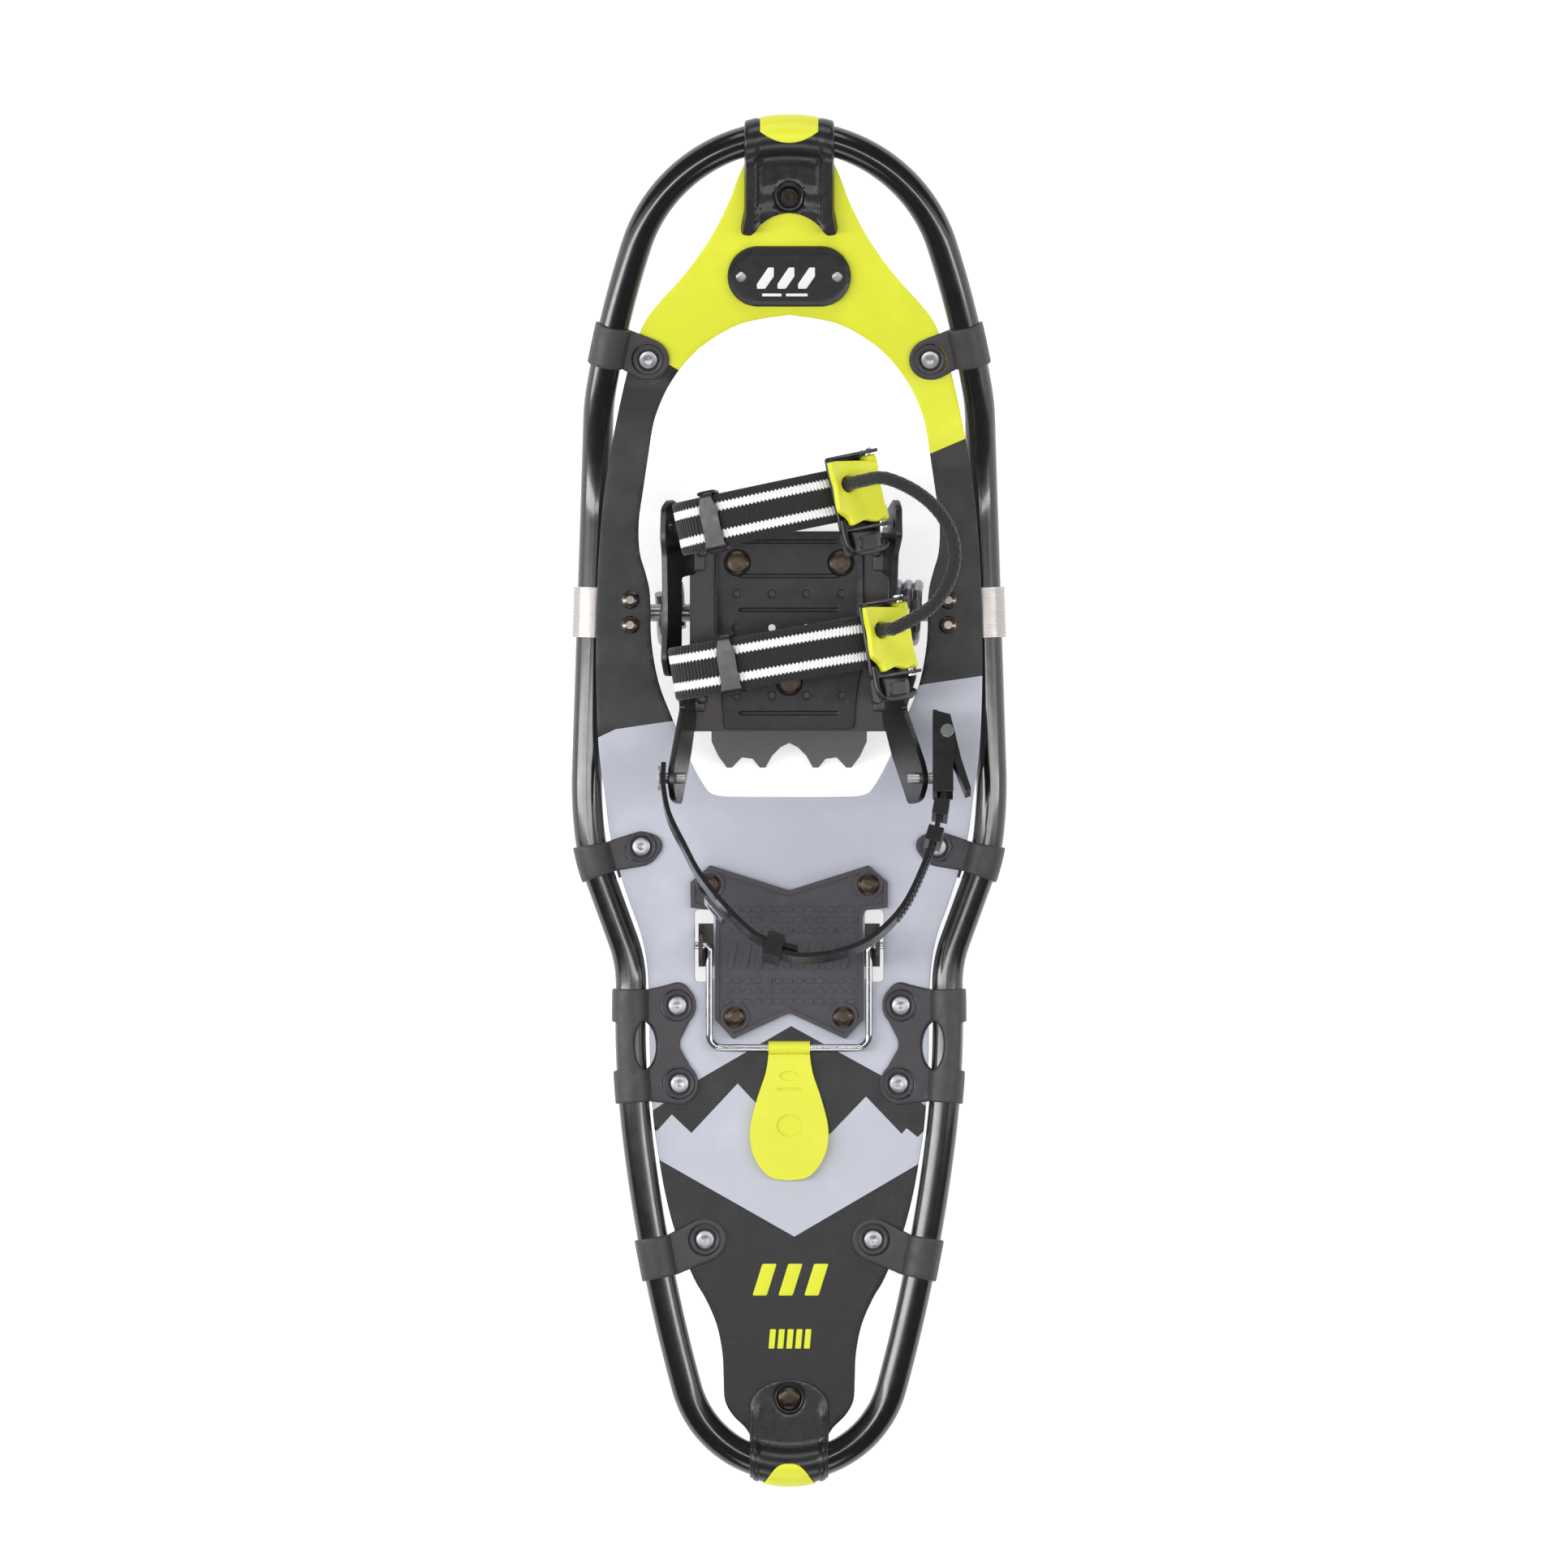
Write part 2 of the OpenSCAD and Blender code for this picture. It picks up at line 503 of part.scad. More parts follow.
// Heel lift frame: origin on the lift axis, -Y towards the cross bar
leg = 47.4;
lift_tilt = 2.2;
module lift_place() {
  translate([0, -lift_y, lift_z]) rotate([lift_tilt, 0, 0]) children();
}
module heel_lift_bail() {
  rw = wire_d / 2;
  color("#c6c8ca") lift_place() for (k = [-1, 1]) {
    translate([k * 39.6, 0, 0]) rotate([0, k * 90, 0]) cylinder(r = rw, h = 4);
    translate([k * 39.6, -2.6, 0]) mirror([k < 0 ? 0 : 1, 0, 0]) rotate_extrude(angle = 90)
      translate([2.6, 0]) circle(rw);
    translate([k * 37, -2.6, 0]) rotate([90, 0, 0]) cylinder(r = rw, h = leg - 8.6);
    translate([k * 31, -leg + 6, 0]) mirror([k < 0 ? 1 : 0, 0, 0]) rotate([0, 0, -90])
      rotate_extrude(angle = 90) translate([6, 0]) circle(rw);
    translate([0, -leg, 0]) rotate([0, k * 90, 0]) cylinder(r = rw, h = 31);
  }
}
module tab_shape(g = 0) {
  p = smooth([[9.6, 3.2], [9.6, -3], [11, -12], [15, -24], [18.2 - g, -38], [16.5 - g, -50],
    [9.5, -59.5 + g], [0, -61.5 + g]], 4);
  polygon(concat(p, flip(p)));
}
module heel_lift_tab() {
  rw = wire_d / 2;
  color("#dfe41a") lift_place() translate([0, -leg, 0]) rotate([-lift_tilt, 0, 0]) difference() {
    union() {
      rotate([0, 90, 0]) cylinder(r = 3.1, h = 19.2, center = true);
      translate([0, 0, -2.9]) linear_extrude(3.1) intersection() {
        tab_shape();
        translate([-30, -70]) square([60, 70]);
      }
    }
    rotate([0, 90, 0]) cylinder(r = rw + 0.08, h = 30, center = true);
    translate([0, -36, -0.6]) scale([1.15, 1, 1]) cylinder(r = 5, h = 3);
    translate([0, -13, -0.6]) scale([2, 1, 1]) cylinder(r = 2.2, h = 3);
    translate([-5.5, -20, -0.6]) cube([11, 1.4, 3]);
  }
}

// --- Binding -----------------------------------------------------------------------------
base_z = axis_h + 10;
module at_pivot() {
  translate([0, pivot_y, axis_h]) children();
}
module toe_crampon() {
  color("#4b4c51") difference() {
    union() {
      translate([-base_x, 33, base_z]) cube([2 * base_x, 92, sheet]);
      for (k = [-1, 1]) translate([k * (base_x - 1) - 1, 0, 0]) rotate([90, 0, 90]) linear_extrude(sheet)
        polygon([[42, base_z + 1], [42, 34], [50, 8], [53, 8], [62, 24], [76, 26], [100, 26],
          [108, 8], [111, 8], [125, 30], [125, base_z + 1]]);
      translate([0, 125, 0]) rotate([90, 0, 0]) linear_extrude(sheet)
        polygon([[-base_x, base_z + 1], [-base_x, 26], [-38, 0], [-35, 0], [-28, 18], [-21, 18],
          [-15, 0], [-12, 0], [-5, 22], [5, 22], [12, 0], [15, 0], [21, 18], [28, 18], [35, 0],
          [38, 0], [base_x, 26], [base_x, base_z + 1]]);
      translate([0, 34.9, base_z + sheet - 0.8]) rotate([70.5, 0, 0]) linear_extrude(sheet)
        for (k = [-1, 1]) polygon([[k * 36, 0], [k * 36, -14], [k * 33, -34], [k * 29, -50.2],
          [k * 26.6, -50.2], [k * 22, -36], [k * 17, -38], [k * 13.6, -50.2], [k * 11, -50.2],
          [k * 8, -34], [k * 4, -22], [0, -16], [0, 0]]);
    }
    at_pivot() rotate([0, 90, 0]) cylinder(r = axle_d / 2 + 0.08, h = 120, center = true);
    for (q = foot_spots) translate([q[0], q[1], base_z - 1]) cylinder(r = 2.6, h = 6);
    for (k = [-1, 1]) for (y = [48, 116]) translate([k * screw_x, y, base_z - 1]) cylinder(r = 2.1, h = 6);
    for (x = [-12, 12]) translate([x, 82, base_z - 1]) linear_extrude(4) pill2d(16, 8);
  }
}
foot_spots = [[-24, 111], [24, 111], [0, 55.7]];
module footbed() {
  z = base_z + sheet;
  color("#232427") difference() {
    union() {
      translate([0, 0, z]) linear_extrude(3) polygon([[-30.2, 33.6], [30.2, 33.6], [31.5, 52],
        [34.6, 66], [34.6, 116], [28, 125.6], [-28, 125.6], [-34.6, 116], [-34.6, 66], [-31.5, 52]]);
      for (k = [-1, 1]) translate([k * 33.6 - 1, 68, z]) cube([2, 46, 4.6]);
    }
    for (y = [120.8, 104.9, 89.2, 41.4]) translate([-23, y - 1, z + 2]) cube([46, 2, 3]);
    for (x = [-24.3, -8, 8, 24.3]) for (y = [96.6, 80.9, 49.6])
      translate([x, y, z + 1]) cylinder(r = 1.7, h = 4);
    for (q = foot_spots) translate([q[0], q[1], z - 1]) cylinder(r = 2.6, h = 6);
    for (q = foot_spots) translate([q[0], q[1], z + 1.6]) cylinder(r = 6.2, h = 6);
  }
}
module footbed_rivets() {
  color("#77787b") for (q = foot_spots) translate([q[0], q[1], base_z]) rivet(0, sheet + 1.6, 2.5, 5.4, 1.3);
}
module pivot_springs() {
  turns_n = 2.2;
  steps = 40;
  color("#8b8d90") for (k = [-1, 1]) at_pivot()
    swept([for (i = [0:steps]) let (a = -k * 360 * turns_n * i / steps + (k > 0 ? 60 : 240))
      [k * 50 + k * 10.2 * i / steps, 13.2 * cos(a), 13.2 * sin(a)]], 2.3, 10, [1, 0, 0]);
}
// Leaning side wall: outline in (Y, height) over the base, thickness outwards
module lean(k, x0, a, t = 3) {
  translate([k * x0, 0, base_z + sheet]) rotate([0, k * a, 0]) translate([k > 0 ? 0 : -t, 0, 0])
    rotate([90, 0, 90]) linear_extrude(t) children();
}
rivet_h = 40;
arm_y = 11.3;
wall_in = base_x - 3.2;
module wall2d(back) {
  difference() {
    polygon([[62, 8], [70, 18], [104, 18], [106, 0], [124, 0], [134, 8], [140, 30], [136, 37],
      [122, 38], [114, back > 30 ? 36 : 28], [90, back > 30 ? 35 : 24], [82, back - 2],
      [66, back], [58, back - 4]]);
    translate([128, 31.5]) circle(2.2);
  }
}
module arm2d() {
  difference() {
    union() {
      polygon([[40, 0], [58, 0], [66, 10], [66, 34], [58, 36], [44, 24], [arm_y + 8, 46], [arm_y - 9, 47],
        [arm_y - 12, 32], [22, 12]]);
      translate([arm_y - 1, rivet_h - 1]) circle(10);
    }
    translate([arm_y, rivet_h]) circle(2.6);
  }
}
screw_x = 40.4;
module side_plate(k, wa, aa) {
  difference() {
    union() {
      lean(k, wall_in, wa) wall2d(k < 0 ? 37 : 24);
      lean(k, wall_in, aa) arm2d();
      translate([k * (wall_in - 1) - 3, 42, base_z + sheet]) cube([6, 14, 2.4]);
      translate([k * (wall_in - 1) - 3, 107, base_z + sheet]) cube([6, 16, 2.4]);
    }
    translate([k * 50 - 20, 0, base_z + sheet - 10]) cube([40, 150, 10]);
    translate([0, arm_y, strap_z]) rotate([0, 90, 0]) cylinder(r = 2.72, h = 200, center = true);
    for (y = [48, 116]) translate([k * screw_x, y, base_z]) cylinder(r = 2.1, h = 8);
  }
}
module side_plate_left() {
  color("#1d1e21") side_plate(-1, 22, 12);
}
module side_plate_right() {
  color("#1d1e21") side_plate(1, 10, 22);
}
module side_screws() {
  color("#3c3d41") for (k = [-1, 1]) for (y = [48, 116]) translate([k * screw_x, y, base_z])
    rivet(0, sheet + 2.4, 2, 2.5, 0.9, 3.2);
}

// Webbing arches over the boot, each in a plane turned about Z
front_yc = 136.5;
front_a = 12;
rear_yc = 68;
rear_a = 9.6;
front_arch = smooth([[-43.4, 60], [-46.6, 68.5], [-50, 77.5], [-51.6, 88], [-45.6, 98], [-32, 104],
  [-14, 107], [4, 105.5], [18, 99.5], [29, 89.2], [37, 78.5], [40, 73]], 4);
front_link = smooth([[34.8, 77], [36.8, 71], [38, 64], [37.8, 57]], 4);
rear_arch = smooth([[-41.2, 58], [-42.6, 66], [-45.4, 76.5], [-50.6, 87], [-53.8, 97], [-48, 107.5],
  [-30, 115.5], [-4, 118.5], [20, 115], [37, 105.5], [46.4, 93.5], [49.4, 82], [44.6, 73],
  [41.4, 64], [40.4, 57]], 4);
module front_place() {
  translate([0, front_yc, 0]) rotate([0, 0, front_a]) children();
}
module rear_place() {
  translate([0, rear_yc, 0]) rotate([0, 0, rear_a]) children();
}
module webbing(p, w, t) {
  rotate([90, 0, 0]) translate([0, 0, -w / 2]) linear_extrude(w) strip2d(p, t);
}
module front_strap() {
  color("#17181b") front_place() {
    webbing(front_arch, web_w, 1.5);
    webbing(shift([for (i = [12:28]) front_arch[i]], -1.7), web_w - 2, 1.4);
    translate([0, -16, 0]) webbing(front_link, web_w - 4, 1.4);
  }
}
module rear_strap() {
  color("#17181b") rear_place() {
    webbing(rear_arch, web_w, 1.5);
    webbing(shift([for (i = [14:30]) rear_arch[i]], -1.7), web_w - 2, 1.4);
  }
}
// Square keeper loop round a strap, 9 mm along it
module keeper(w, t0, t1) {
  rotate([90, 0, 90]) linear_extrude(9, center = true) difference() {
    translate([-w / 2 - 1.8, t0 - 1.8]) square([w + 3.6, t1 - t0 + 3.6]);
    translate([-w / 2, t0]) square([w, t1 - t0]);
  }
}
module strap_keepers() {
  color("#202125") {
    front_place() translate([-36, 0, 102.7]) rotate([0, -20, 0]) keeper(web_w + 0.6, -2.9, 1.2);
    rear_place() translate([-28, 0, 116]) rotate([0, -17, 0]) keeper(web_w + 0.6, -3, 1.1);
  }
}
// Cam buckle frame: X down the strap, Y across it, Z away from the boot
module front_cam() {
  front_place() translate([28.6, 0, 89.8]) rotate([0, 47, 0]) children();
}
module rear_cam() {
  rear_place() translate([42.4, 0, 99.6]) rotate([0, 52, 0]) children();
}
pin_x = 9;
pin_z = 7.2;
module cam_buckle() {
  difference() {
    union() {
      translate([-14, -17.8, 1.3]) cube([28, 35.6, 1.5]);
      for (k = [-1, 1]) translate([0, k * 17 + 0.8, 1.3]) rotate([90, 0, 0]) linear_extrude(1.6)
        polygon([[-12, 0], [14, 0], [14, 7], [12, 10.6], [7, 10.6], [-6, 4]]);
      translate([-12, -29, 0.6]) rotate([90, 0, 90]) linear_extrude(18)
        polygon([[0, 1], [1.5, -1.2], [11.4, -1.2], [11.4, 6.4], [8, 8], [2, 7]]);
      translate([-14.5, -27, 4]) cube([27, 3, 3]);
    }
    translate([pin_x, 0, pin_z]) rotate([90, 0, 0]) cylinder(r = 1.7, h = 50, center = true);
  }
}
module cam_pin() {
  translate([pin_x, 0, pin_z]) rotate([90, 0, 0]) {
    cylinder(r = 1.65, h = 35.8, center = true);
    for (k = [-1, 1]) translate([0, 0, k * 18.3]) cylinder(r = 2.5, h = 0.9, center = true);
  }
}
module cam_lever() {
  difference() {
    union() {
      translate([pin_x, 0, pin_z]) rotate([90, 0, 0]) cylinder(r = 3.9, h = 31, center = true);
      translate([0, 15.5, 0]) rotate([90, 0, 0]) linear_extrude(31)
        polygon([[9, 11.1], [9, 8], [-2, 6.8], [-12, 5], [-17.5, 5.2], [-18.4, 7.6], [-12, 8],
          [-3, 10]]);
    }
    translate([pin_x, 0, pin_z]) rotate([90, 0, 0]) cylinder(r = 1.72, h = 60, center = true);
    translate([-20, -18, 0]) cube([8, 8, 20]);
    translate([-8, 4, 0]) cylinder(r = 3.6, h = 20);
  }
}
module front_buckle() {
  color("#222327") front_cam() cam_buckle();
}
module rear_buckle() {
  color("#222327") rear_cam() cam_buckle();
}
module buckle_pins() {
  color("#b7b9bb") {
    front_cam() cam_pin();
    rear_cam() cam_pin();
  }
}
module front_release() {
  color("#dfe41a") front_cam() cam_lever();
}
module rear_release() {
  color("#dfe41a") rear_cam() cam_lever();
}
// Braided cord between the two release levers: out of one lever's hole and into the other's
cord_d = 6.2;
function turned(p, a, y) = [p[0] * cos(a) - p[1] * sin(a), y + p[0] * sin(a) + p[1] * cos(a), p[2]];
function cam_pt(c, b, a, y, p) = turned([c[0] + p[0] * cos(b) + p[2] * sin(b), p[1],
  c[1] - p[0] * sin(b) + p[2] * cos(b)], a, y);
function front_pt(z) = cam_pt([28.6, 89.8], 47, front_a, front_yc, [-8, 4, z]);
function rear_pt(z) = cam_pt([42.4, 99.6], 52, rear_a, rear_yc, [-8, 4, z]);
cord_path = smooth([front_pt(5.6), front_pt(11.5), front_pt(16), [43, 149, 113.5], [55, 144.5, 114],
  [65, 137.4, 112], [72, 128.6, 109], [75.6, 118.5, 107], [75.2, 107.5, 107.5], [70.8, 97, 110],
  [63.5, 88.6, 114], rear_pt(16.5), rear_pt(11.5), rear_pt(5.6)], 4);
module pull_cord() {
  color("#1a1b1e") swept(cord_path, cord_d / 2, 10);
}

// --- Heel strap with ratchet, in a plane that rises towards the heel -----------------------
strap_z = base_z + sheet + rivet_h;
strap_up = 11;
module strap_place() {
  translate([0, arm_y, strap_z]) rotate([-strap_up, 0, 0]) children();
}
function hp(x, y) = [x, (y - arm_y) / cos(strap_up)];
heel_line = smooth([hp(-57.7, 17), hp(-58, 8), hp(-55.4, -6), hp(-48.6, -20), hp(-41, -34),
  hp(-29, -49), hp(-14, -62.5), hp(4, -68.2)], 5);
tail_line = smooth([hp(-12, -66.6), hp(3, -71.2), hp(20, -70), hp(37, -63.5), hp(52, -49),
  hp(62, -29), hp(67.6, -13), hp(70.6, 2), hp(71.4, 12)], 5);
module heel_strap() {
  color("#1f2024") strap_place() difference() {
    translate([0, 0, -9.5]) linear_extrude(19) strip2d(heel_line, 2.2);
    rotate([0, 90, 0]) cylinder(r = 2.7, h = 140, center = true);
  }
}
module heel_strap_tail() {
  n = len(tail_line);
  color("#1f2024") strap_place() {
    translate([0, 0, -9.2]) linear_extrude(18.4) strip2d(tail_line, 2.2);
    for (i = [19:27]) for (h = [0, 0.5]) let (p = tail_line[i] + h * (tail_line[i + 1] - tail_line[i]),
      t = tang(tail_line, i)) translate([p[0], p[1], -6]) rotate([0, 0, atan2(t[1], t[0])])
      translate([-0.6, -1.9, 0]) cube([1.2, 1.6, 12]);
  }
}
module loop_block(p, a, w, gap = 3) {
  translate([p[0], p[1], 0]) rotate([0, 0, a]) translate([-w / 2, 0, -11.5]) difference() {
    translate([0, -gap / 2 - 2.1, 0]) cube([w, gap + 4.2, 23]);
    translate([-1, -gap / 2, 1.8]) cube([w + 2, gap, 19.4]);
  }
}
function heading(i) = let (t = tang(tail_line, i)) atan2(t[1], t[0]);
module heel_keepers() {
  color("#26272b") strap_place() {
    loop_block(hp(-7, -66.7), -16.5, 8, 6.8);
    for (i = [29, 33]) loop_block(tail_line[i], heading(i), 7);
  }
}
module heel_hook() {
  color("#c9cbcd") strap_place() translate([-33.4, -59.4, 0]) rotate([0, 0, -51]) difference() {
    translate([-5, -3.2, -8]) cube([13, 1.6, 16]);
    translate([-2.4, -5, -5]) cube([7.6, 6, 10]);
  }
}
module heel_strap_rivets() {
  color("#a9abad") translate([0, arm_y, strap_z]) {
    translate([-59.4, 0, 0]) rotate([0, 90, 0]) cylinder(r = 2.6, h = 11.7);
    translate([-59.4, 0, 0]) rotate([0, -90, 0]) pin_head(5.7, 1.8);
    translate([54.4, 0, 0]) rotate([0, 90, 0]) cylinder(r = 2.6, h = 14.2);
  }
}
module ratchet_body() {
  color("#232428") strap_place() difference() {
    union() {
      translate([66, -8, -11]) cube([2, 38, 22]);
      for (z = [-11, 9.4]) translate([66, -6, z]) linear_extrude(1.6)
        polygon([[0, -2], [9.4, -2], [9.4, 10], [10.6, 24], [8, 34], [0, 36]]);
    }
    rotate([0, 90, 0]) cylinder(r = 2.68, h = 160, center = true);
    translate([72.6, 20, 0]) cylinder(r = 1.75, h = 40, center = true);
  }
}
module ratchet_screw() {
  color("#b9bbbd") strap_place() translate([72.6, 20, 0]) {
    cylinder(r = 1.7, h = 22.6, center = true);
    for (k = [-1, 1]) translate([0, 0, k * 11.8]) cylinder(r = 3, h = 1.2, center = true);
  }
}
module ratchet_lever() {
  color("#1b1c1f") strap_place() difference() {
    union() {
      translate([72.6, 20, -9]) cylinder(r = 3.4, h = 18);
      translate([0, 0, -9]) linear_extrude(18) polygon([[72, 22.6], [76, 20.6], [79, 8], [83.6, -6.6],
        [81, -7.6], [75.4, 7], [72, 17]]);
    }
    translate([72.6, 20, 0]) cylinder(r = 1.78, h = 40, center = true);
  }
}

frame_tube();
frame_splice();
deck();
toe_clip();
toe_clip_tab();
toe_clip_screw();
tail_clip();
tail_clip_tab();
tail_rivet();
front_clip_left();
front_clip_right();
mid_clip_left();
mid_clip_right();
waist_clip_left();
waist_clip_right();
rear_clip_left();
rear_clip_right();
clip_rivets();
badge_plate();
badge_rivets();
pivot_band_left();
pivot_band_right();
deck_dome_rivets();
pivot_axle();
heel_plate();
heel_crampon();
heel_rivets();
heel_lift_bail();
heel_lift_tab();
toe_crampon();
footbed();
footbed_rivets();
pivot_springs();
side_plate_left();
side_plate_right();
side_screws();
front_strap();
rear_strap();
strap_keepers();
front_buckle();
rear_buckle();
buckle_pins();
front_release();
rear_release();
pull_cord();
heel_strap();
heel_strap_tail();
heel_keepers();
heel_hook();
heel_strap_rivets();
ratchet_body();
ratchet_screw();
ratchet_lever();
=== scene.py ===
"""Tubular snowshoe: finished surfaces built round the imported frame. Helpers take millimetres and
degrees; +X right, +Y toe, +Z up, as in the model."""

import json
import math

import bpy
import numpy as np
from mathutils import Matrix, Vector
from mathutils.geometry import delaunay_2d_cdt

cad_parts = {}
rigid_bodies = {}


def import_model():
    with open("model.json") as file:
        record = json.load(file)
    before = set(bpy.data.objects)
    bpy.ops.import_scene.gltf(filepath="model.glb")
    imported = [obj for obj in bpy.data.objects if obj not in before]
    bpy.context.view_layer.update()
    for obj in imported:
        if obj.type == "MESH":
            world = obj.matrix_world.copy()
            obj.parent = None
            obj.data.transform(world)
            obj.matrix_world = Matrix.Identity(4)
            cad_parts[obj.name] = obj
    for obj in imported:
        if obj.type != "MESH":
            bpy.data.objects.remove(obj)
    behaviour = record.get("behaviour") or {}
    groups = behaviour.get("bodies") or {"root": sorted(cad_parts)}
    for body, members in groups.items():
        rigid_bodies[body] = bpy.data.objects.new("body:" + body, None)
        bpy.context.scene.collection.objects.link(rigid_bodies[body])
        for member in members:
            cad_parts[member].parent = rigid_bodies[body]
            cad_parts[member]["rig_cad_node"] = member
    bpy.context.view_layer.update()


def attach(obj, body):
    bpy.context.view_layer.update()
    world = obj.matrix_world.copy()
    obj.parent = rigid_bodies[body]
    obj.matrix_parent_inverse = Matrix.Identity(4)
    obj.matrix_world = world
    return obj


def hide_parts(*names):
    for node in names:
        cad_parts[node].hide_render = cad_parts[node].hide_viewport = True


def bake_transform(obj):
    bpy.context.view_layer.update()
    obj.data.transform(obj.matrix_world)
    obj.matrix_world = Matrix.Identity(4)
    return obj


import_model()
nodes = {o["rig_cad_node"]: o for o in bpy.data.objects if "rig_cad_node" in o}
MM = 0.001

# --- Sizes shared with the model (mm) ---
TUBE_R = 7.15
AXIS_H = 36.0
TOE_LEN = 307.6
TOE_UP = 14.0
TOE_R = 74.0
DECK_T = 2.4
HALF_T = DECK_T / 2
DECK_RISE = 10.4
TOP_RISE = 12.2
BASE_TOP = AXIS_H + 12.0
WEB_W = 24.0
WEFT_PITCH = 1.77
WEAVE_STEP = 0.22
CORD_D = 6.2
RIVET_R = 2.6


# --- Small geometry ---
def rad(a):
    return math.radians(a)


def sin(a):
    return math.sin(rad(a))


def cos(a):
    return math.cos(rad(a))


def tan(a):
    return math.tan(rad(a))


def ease(t):
    """Smooth step from 0 to 1."""
    t = min(max(t, 0.0), 1.0)
    return t * t * (3 - 2 * t)


def metres(p):
    return [c * MM for c in p]


def move(x=0.0, y=0.0, z=0.0):
    return Matrix.Translation((x, y, z))


def turn(a, axis):
    return Matrix.Rotation(rad(a), 4, axis)


def smooth(points, n):
    """Catmull-Rom curve through the points, n steps between each two."""
    out = []
    for i in range(len(points) - 1):
        a, b = points[max(i - 1, 0)], points[i]
        c, d = points[i + 1], points[min(i + 2, len(points) - 1)]
        for k in range(n):
            t = k / n
            out.append(
                tuple(
                    0.5 * (2 * q + (r - p) * t + (2 * p - 5 * q + 4 * r - s) * t * t
                           + (3 * q - p - 3 * r + s) * t**3)
                    for p, q, r, s in zip(a, b, c, d)
                )
            )
    return [*out, tuple(points[-1])]


def mirrored(points):
    """The left half of an outline, in the order that closes its right half."""
    return [(-x, y) for x, y in reversed(points)]


def rect(x0, y0, x1, y1):
    return [(x0, y0), (x1, y0), (x1, y1), (x0, y1)]


def circle(cx, cy, rx, ry=None, n=36):
    ry = rx if ry is None else ry
    return [(cx + rx * math.cos(2 * math.pi * i / n), cy + ry * math.sin(2 * math.pi * i / n))
            for i in range(n)]


def bore(cx, cy, rx, ry=None, n=36):
    """A circle that runs clockwise, as a hole does."""
    return circle(cx, cy, rx, ry, n)[::-1]


def arc(cx, cy, r, first, last, step, ry=None):
    ry = r if ry is None else ry
    return [(cx + r * cos(a), cy + ry * sin(a)) for a in range(first, last + 1, step)]


CORNER = 6  # points that rounded() puts on one corner


def rounded(points, rad_mm, n=CORNER - 1):
    """The closed polygon with its corners cut to arcs of about rad_mm."""
    out = []
    m = len(points)
    for i in range(m):
        p, q, s = (Vector(points[j % m]) for j in (i - 1, i, i + 1))
        a, b = (p - q), (s - q)
        cut = min(rad_mm, a.length * 0.45, b.length * 0.45)
        a, b = q + a.normalized() * cut, q + b.normalized() * cut
        for k in range(n + 1):
            t = k / n
            out.append(tuple((1 - t) ** 2 * a + 2 * t * (1 - t) * q + t * t * b))
    return out


def hull(points):
    """Convex outline round the points, counterclockwise."""
    pts = sorted(set((round(x, 4), round(y, 4)) for x, y in points))
    half = []
    for seq in (pts, pts[::-1]):
        side = []
        for p in seq:
            while len(side) > 1 and ((side[-1][0] - side[-2][0]) * (p[1] - side[-2][1])
                                     - (side[-1][1] - side[-2][1]) * (p[0] - side[-2][0])) <= 0:
                side.pop()
            side.append(p)
        half.append(side[:-1])
    return half[0] + half[1]


def resample(loop, step):
    """Closed loop with points no more than step apart, its corners kept."""
    out = []
    for a, b in zip(loop, [*loop[1:], loop[0]]):
        n = max(1, int(math.ceil(math.dist(a, b) / step)))
        out += [(a[0] + (b[0] - a[0]) * k / n, a[1] + (b[1] - a[1]) * k / n) for k in range(n)]
    return out


def inside(p, loop):
    """Which of the points p (n, 2) are inside the loop."""
    hit = np.zeros(len(p), bool)
    q = np.array(loop, float)
    for (x0, y0), (x1, y1) in zip(q, np.roll(q, -1, 0)):
        if y0 == y1:
            continue
        cross = ((y0 > p[:, 1]) != (y1 > p[:, 1])) & (
            p[:, 0] < (x1 - x0) * (p[:, 1] - y0) / (y1 - y0) + x0)
        hit ^= cross
    return hit


def within(p, loops):
    """Which of the points p are inside the first loop and outside the others."""
    ok = inside(p, loops[0])
    for hole in loops[1:]:
        ok &= ~inside(p, hole)
    return ok


def reach(p, lines):
    """Distance from each of the points p to the nearest line."""
    best = np.full(len(p), 1e9)
    for line in lines:
        q = np.array(line, float)
        for a, b in zip(q, q[1:]):
            ab = b - a
            n = float(ab @ ab)
            if n < 1e-12:
                continue
            t = np.clip(((p - a) @ ab) / n, 0, 1)
            best = np.minimum(best, np.hypot(*(p - a - t[:, None] * ab).T))
    return best


def shifted(line, d):
    """2D line moved sideways by d, to the left of its direction."""
    out = []
    for i, (x, z) in enumerate(line):
        a, b = line[max(i - 1, 0)], line[min(i + 1, len(line) - 1)]
        n = math.dist(a, b)
        out.append((x - d * (b[1] - a[1]) / n, z + d * (b[0] - a[0]) / n))
    return out


def quads(m, w, closed=False):
    """Faces between m rows of w points, each row a ring; closed joins the last row to the first."""
    out = []
    for i in range(m if closed else m - 1):
        a, b = i * w, (i + 1) % m * w
        out += [[a + k, a + (k + 1) % w, b + (k + 1) % w, b + k] for k in range(w)]
    return out


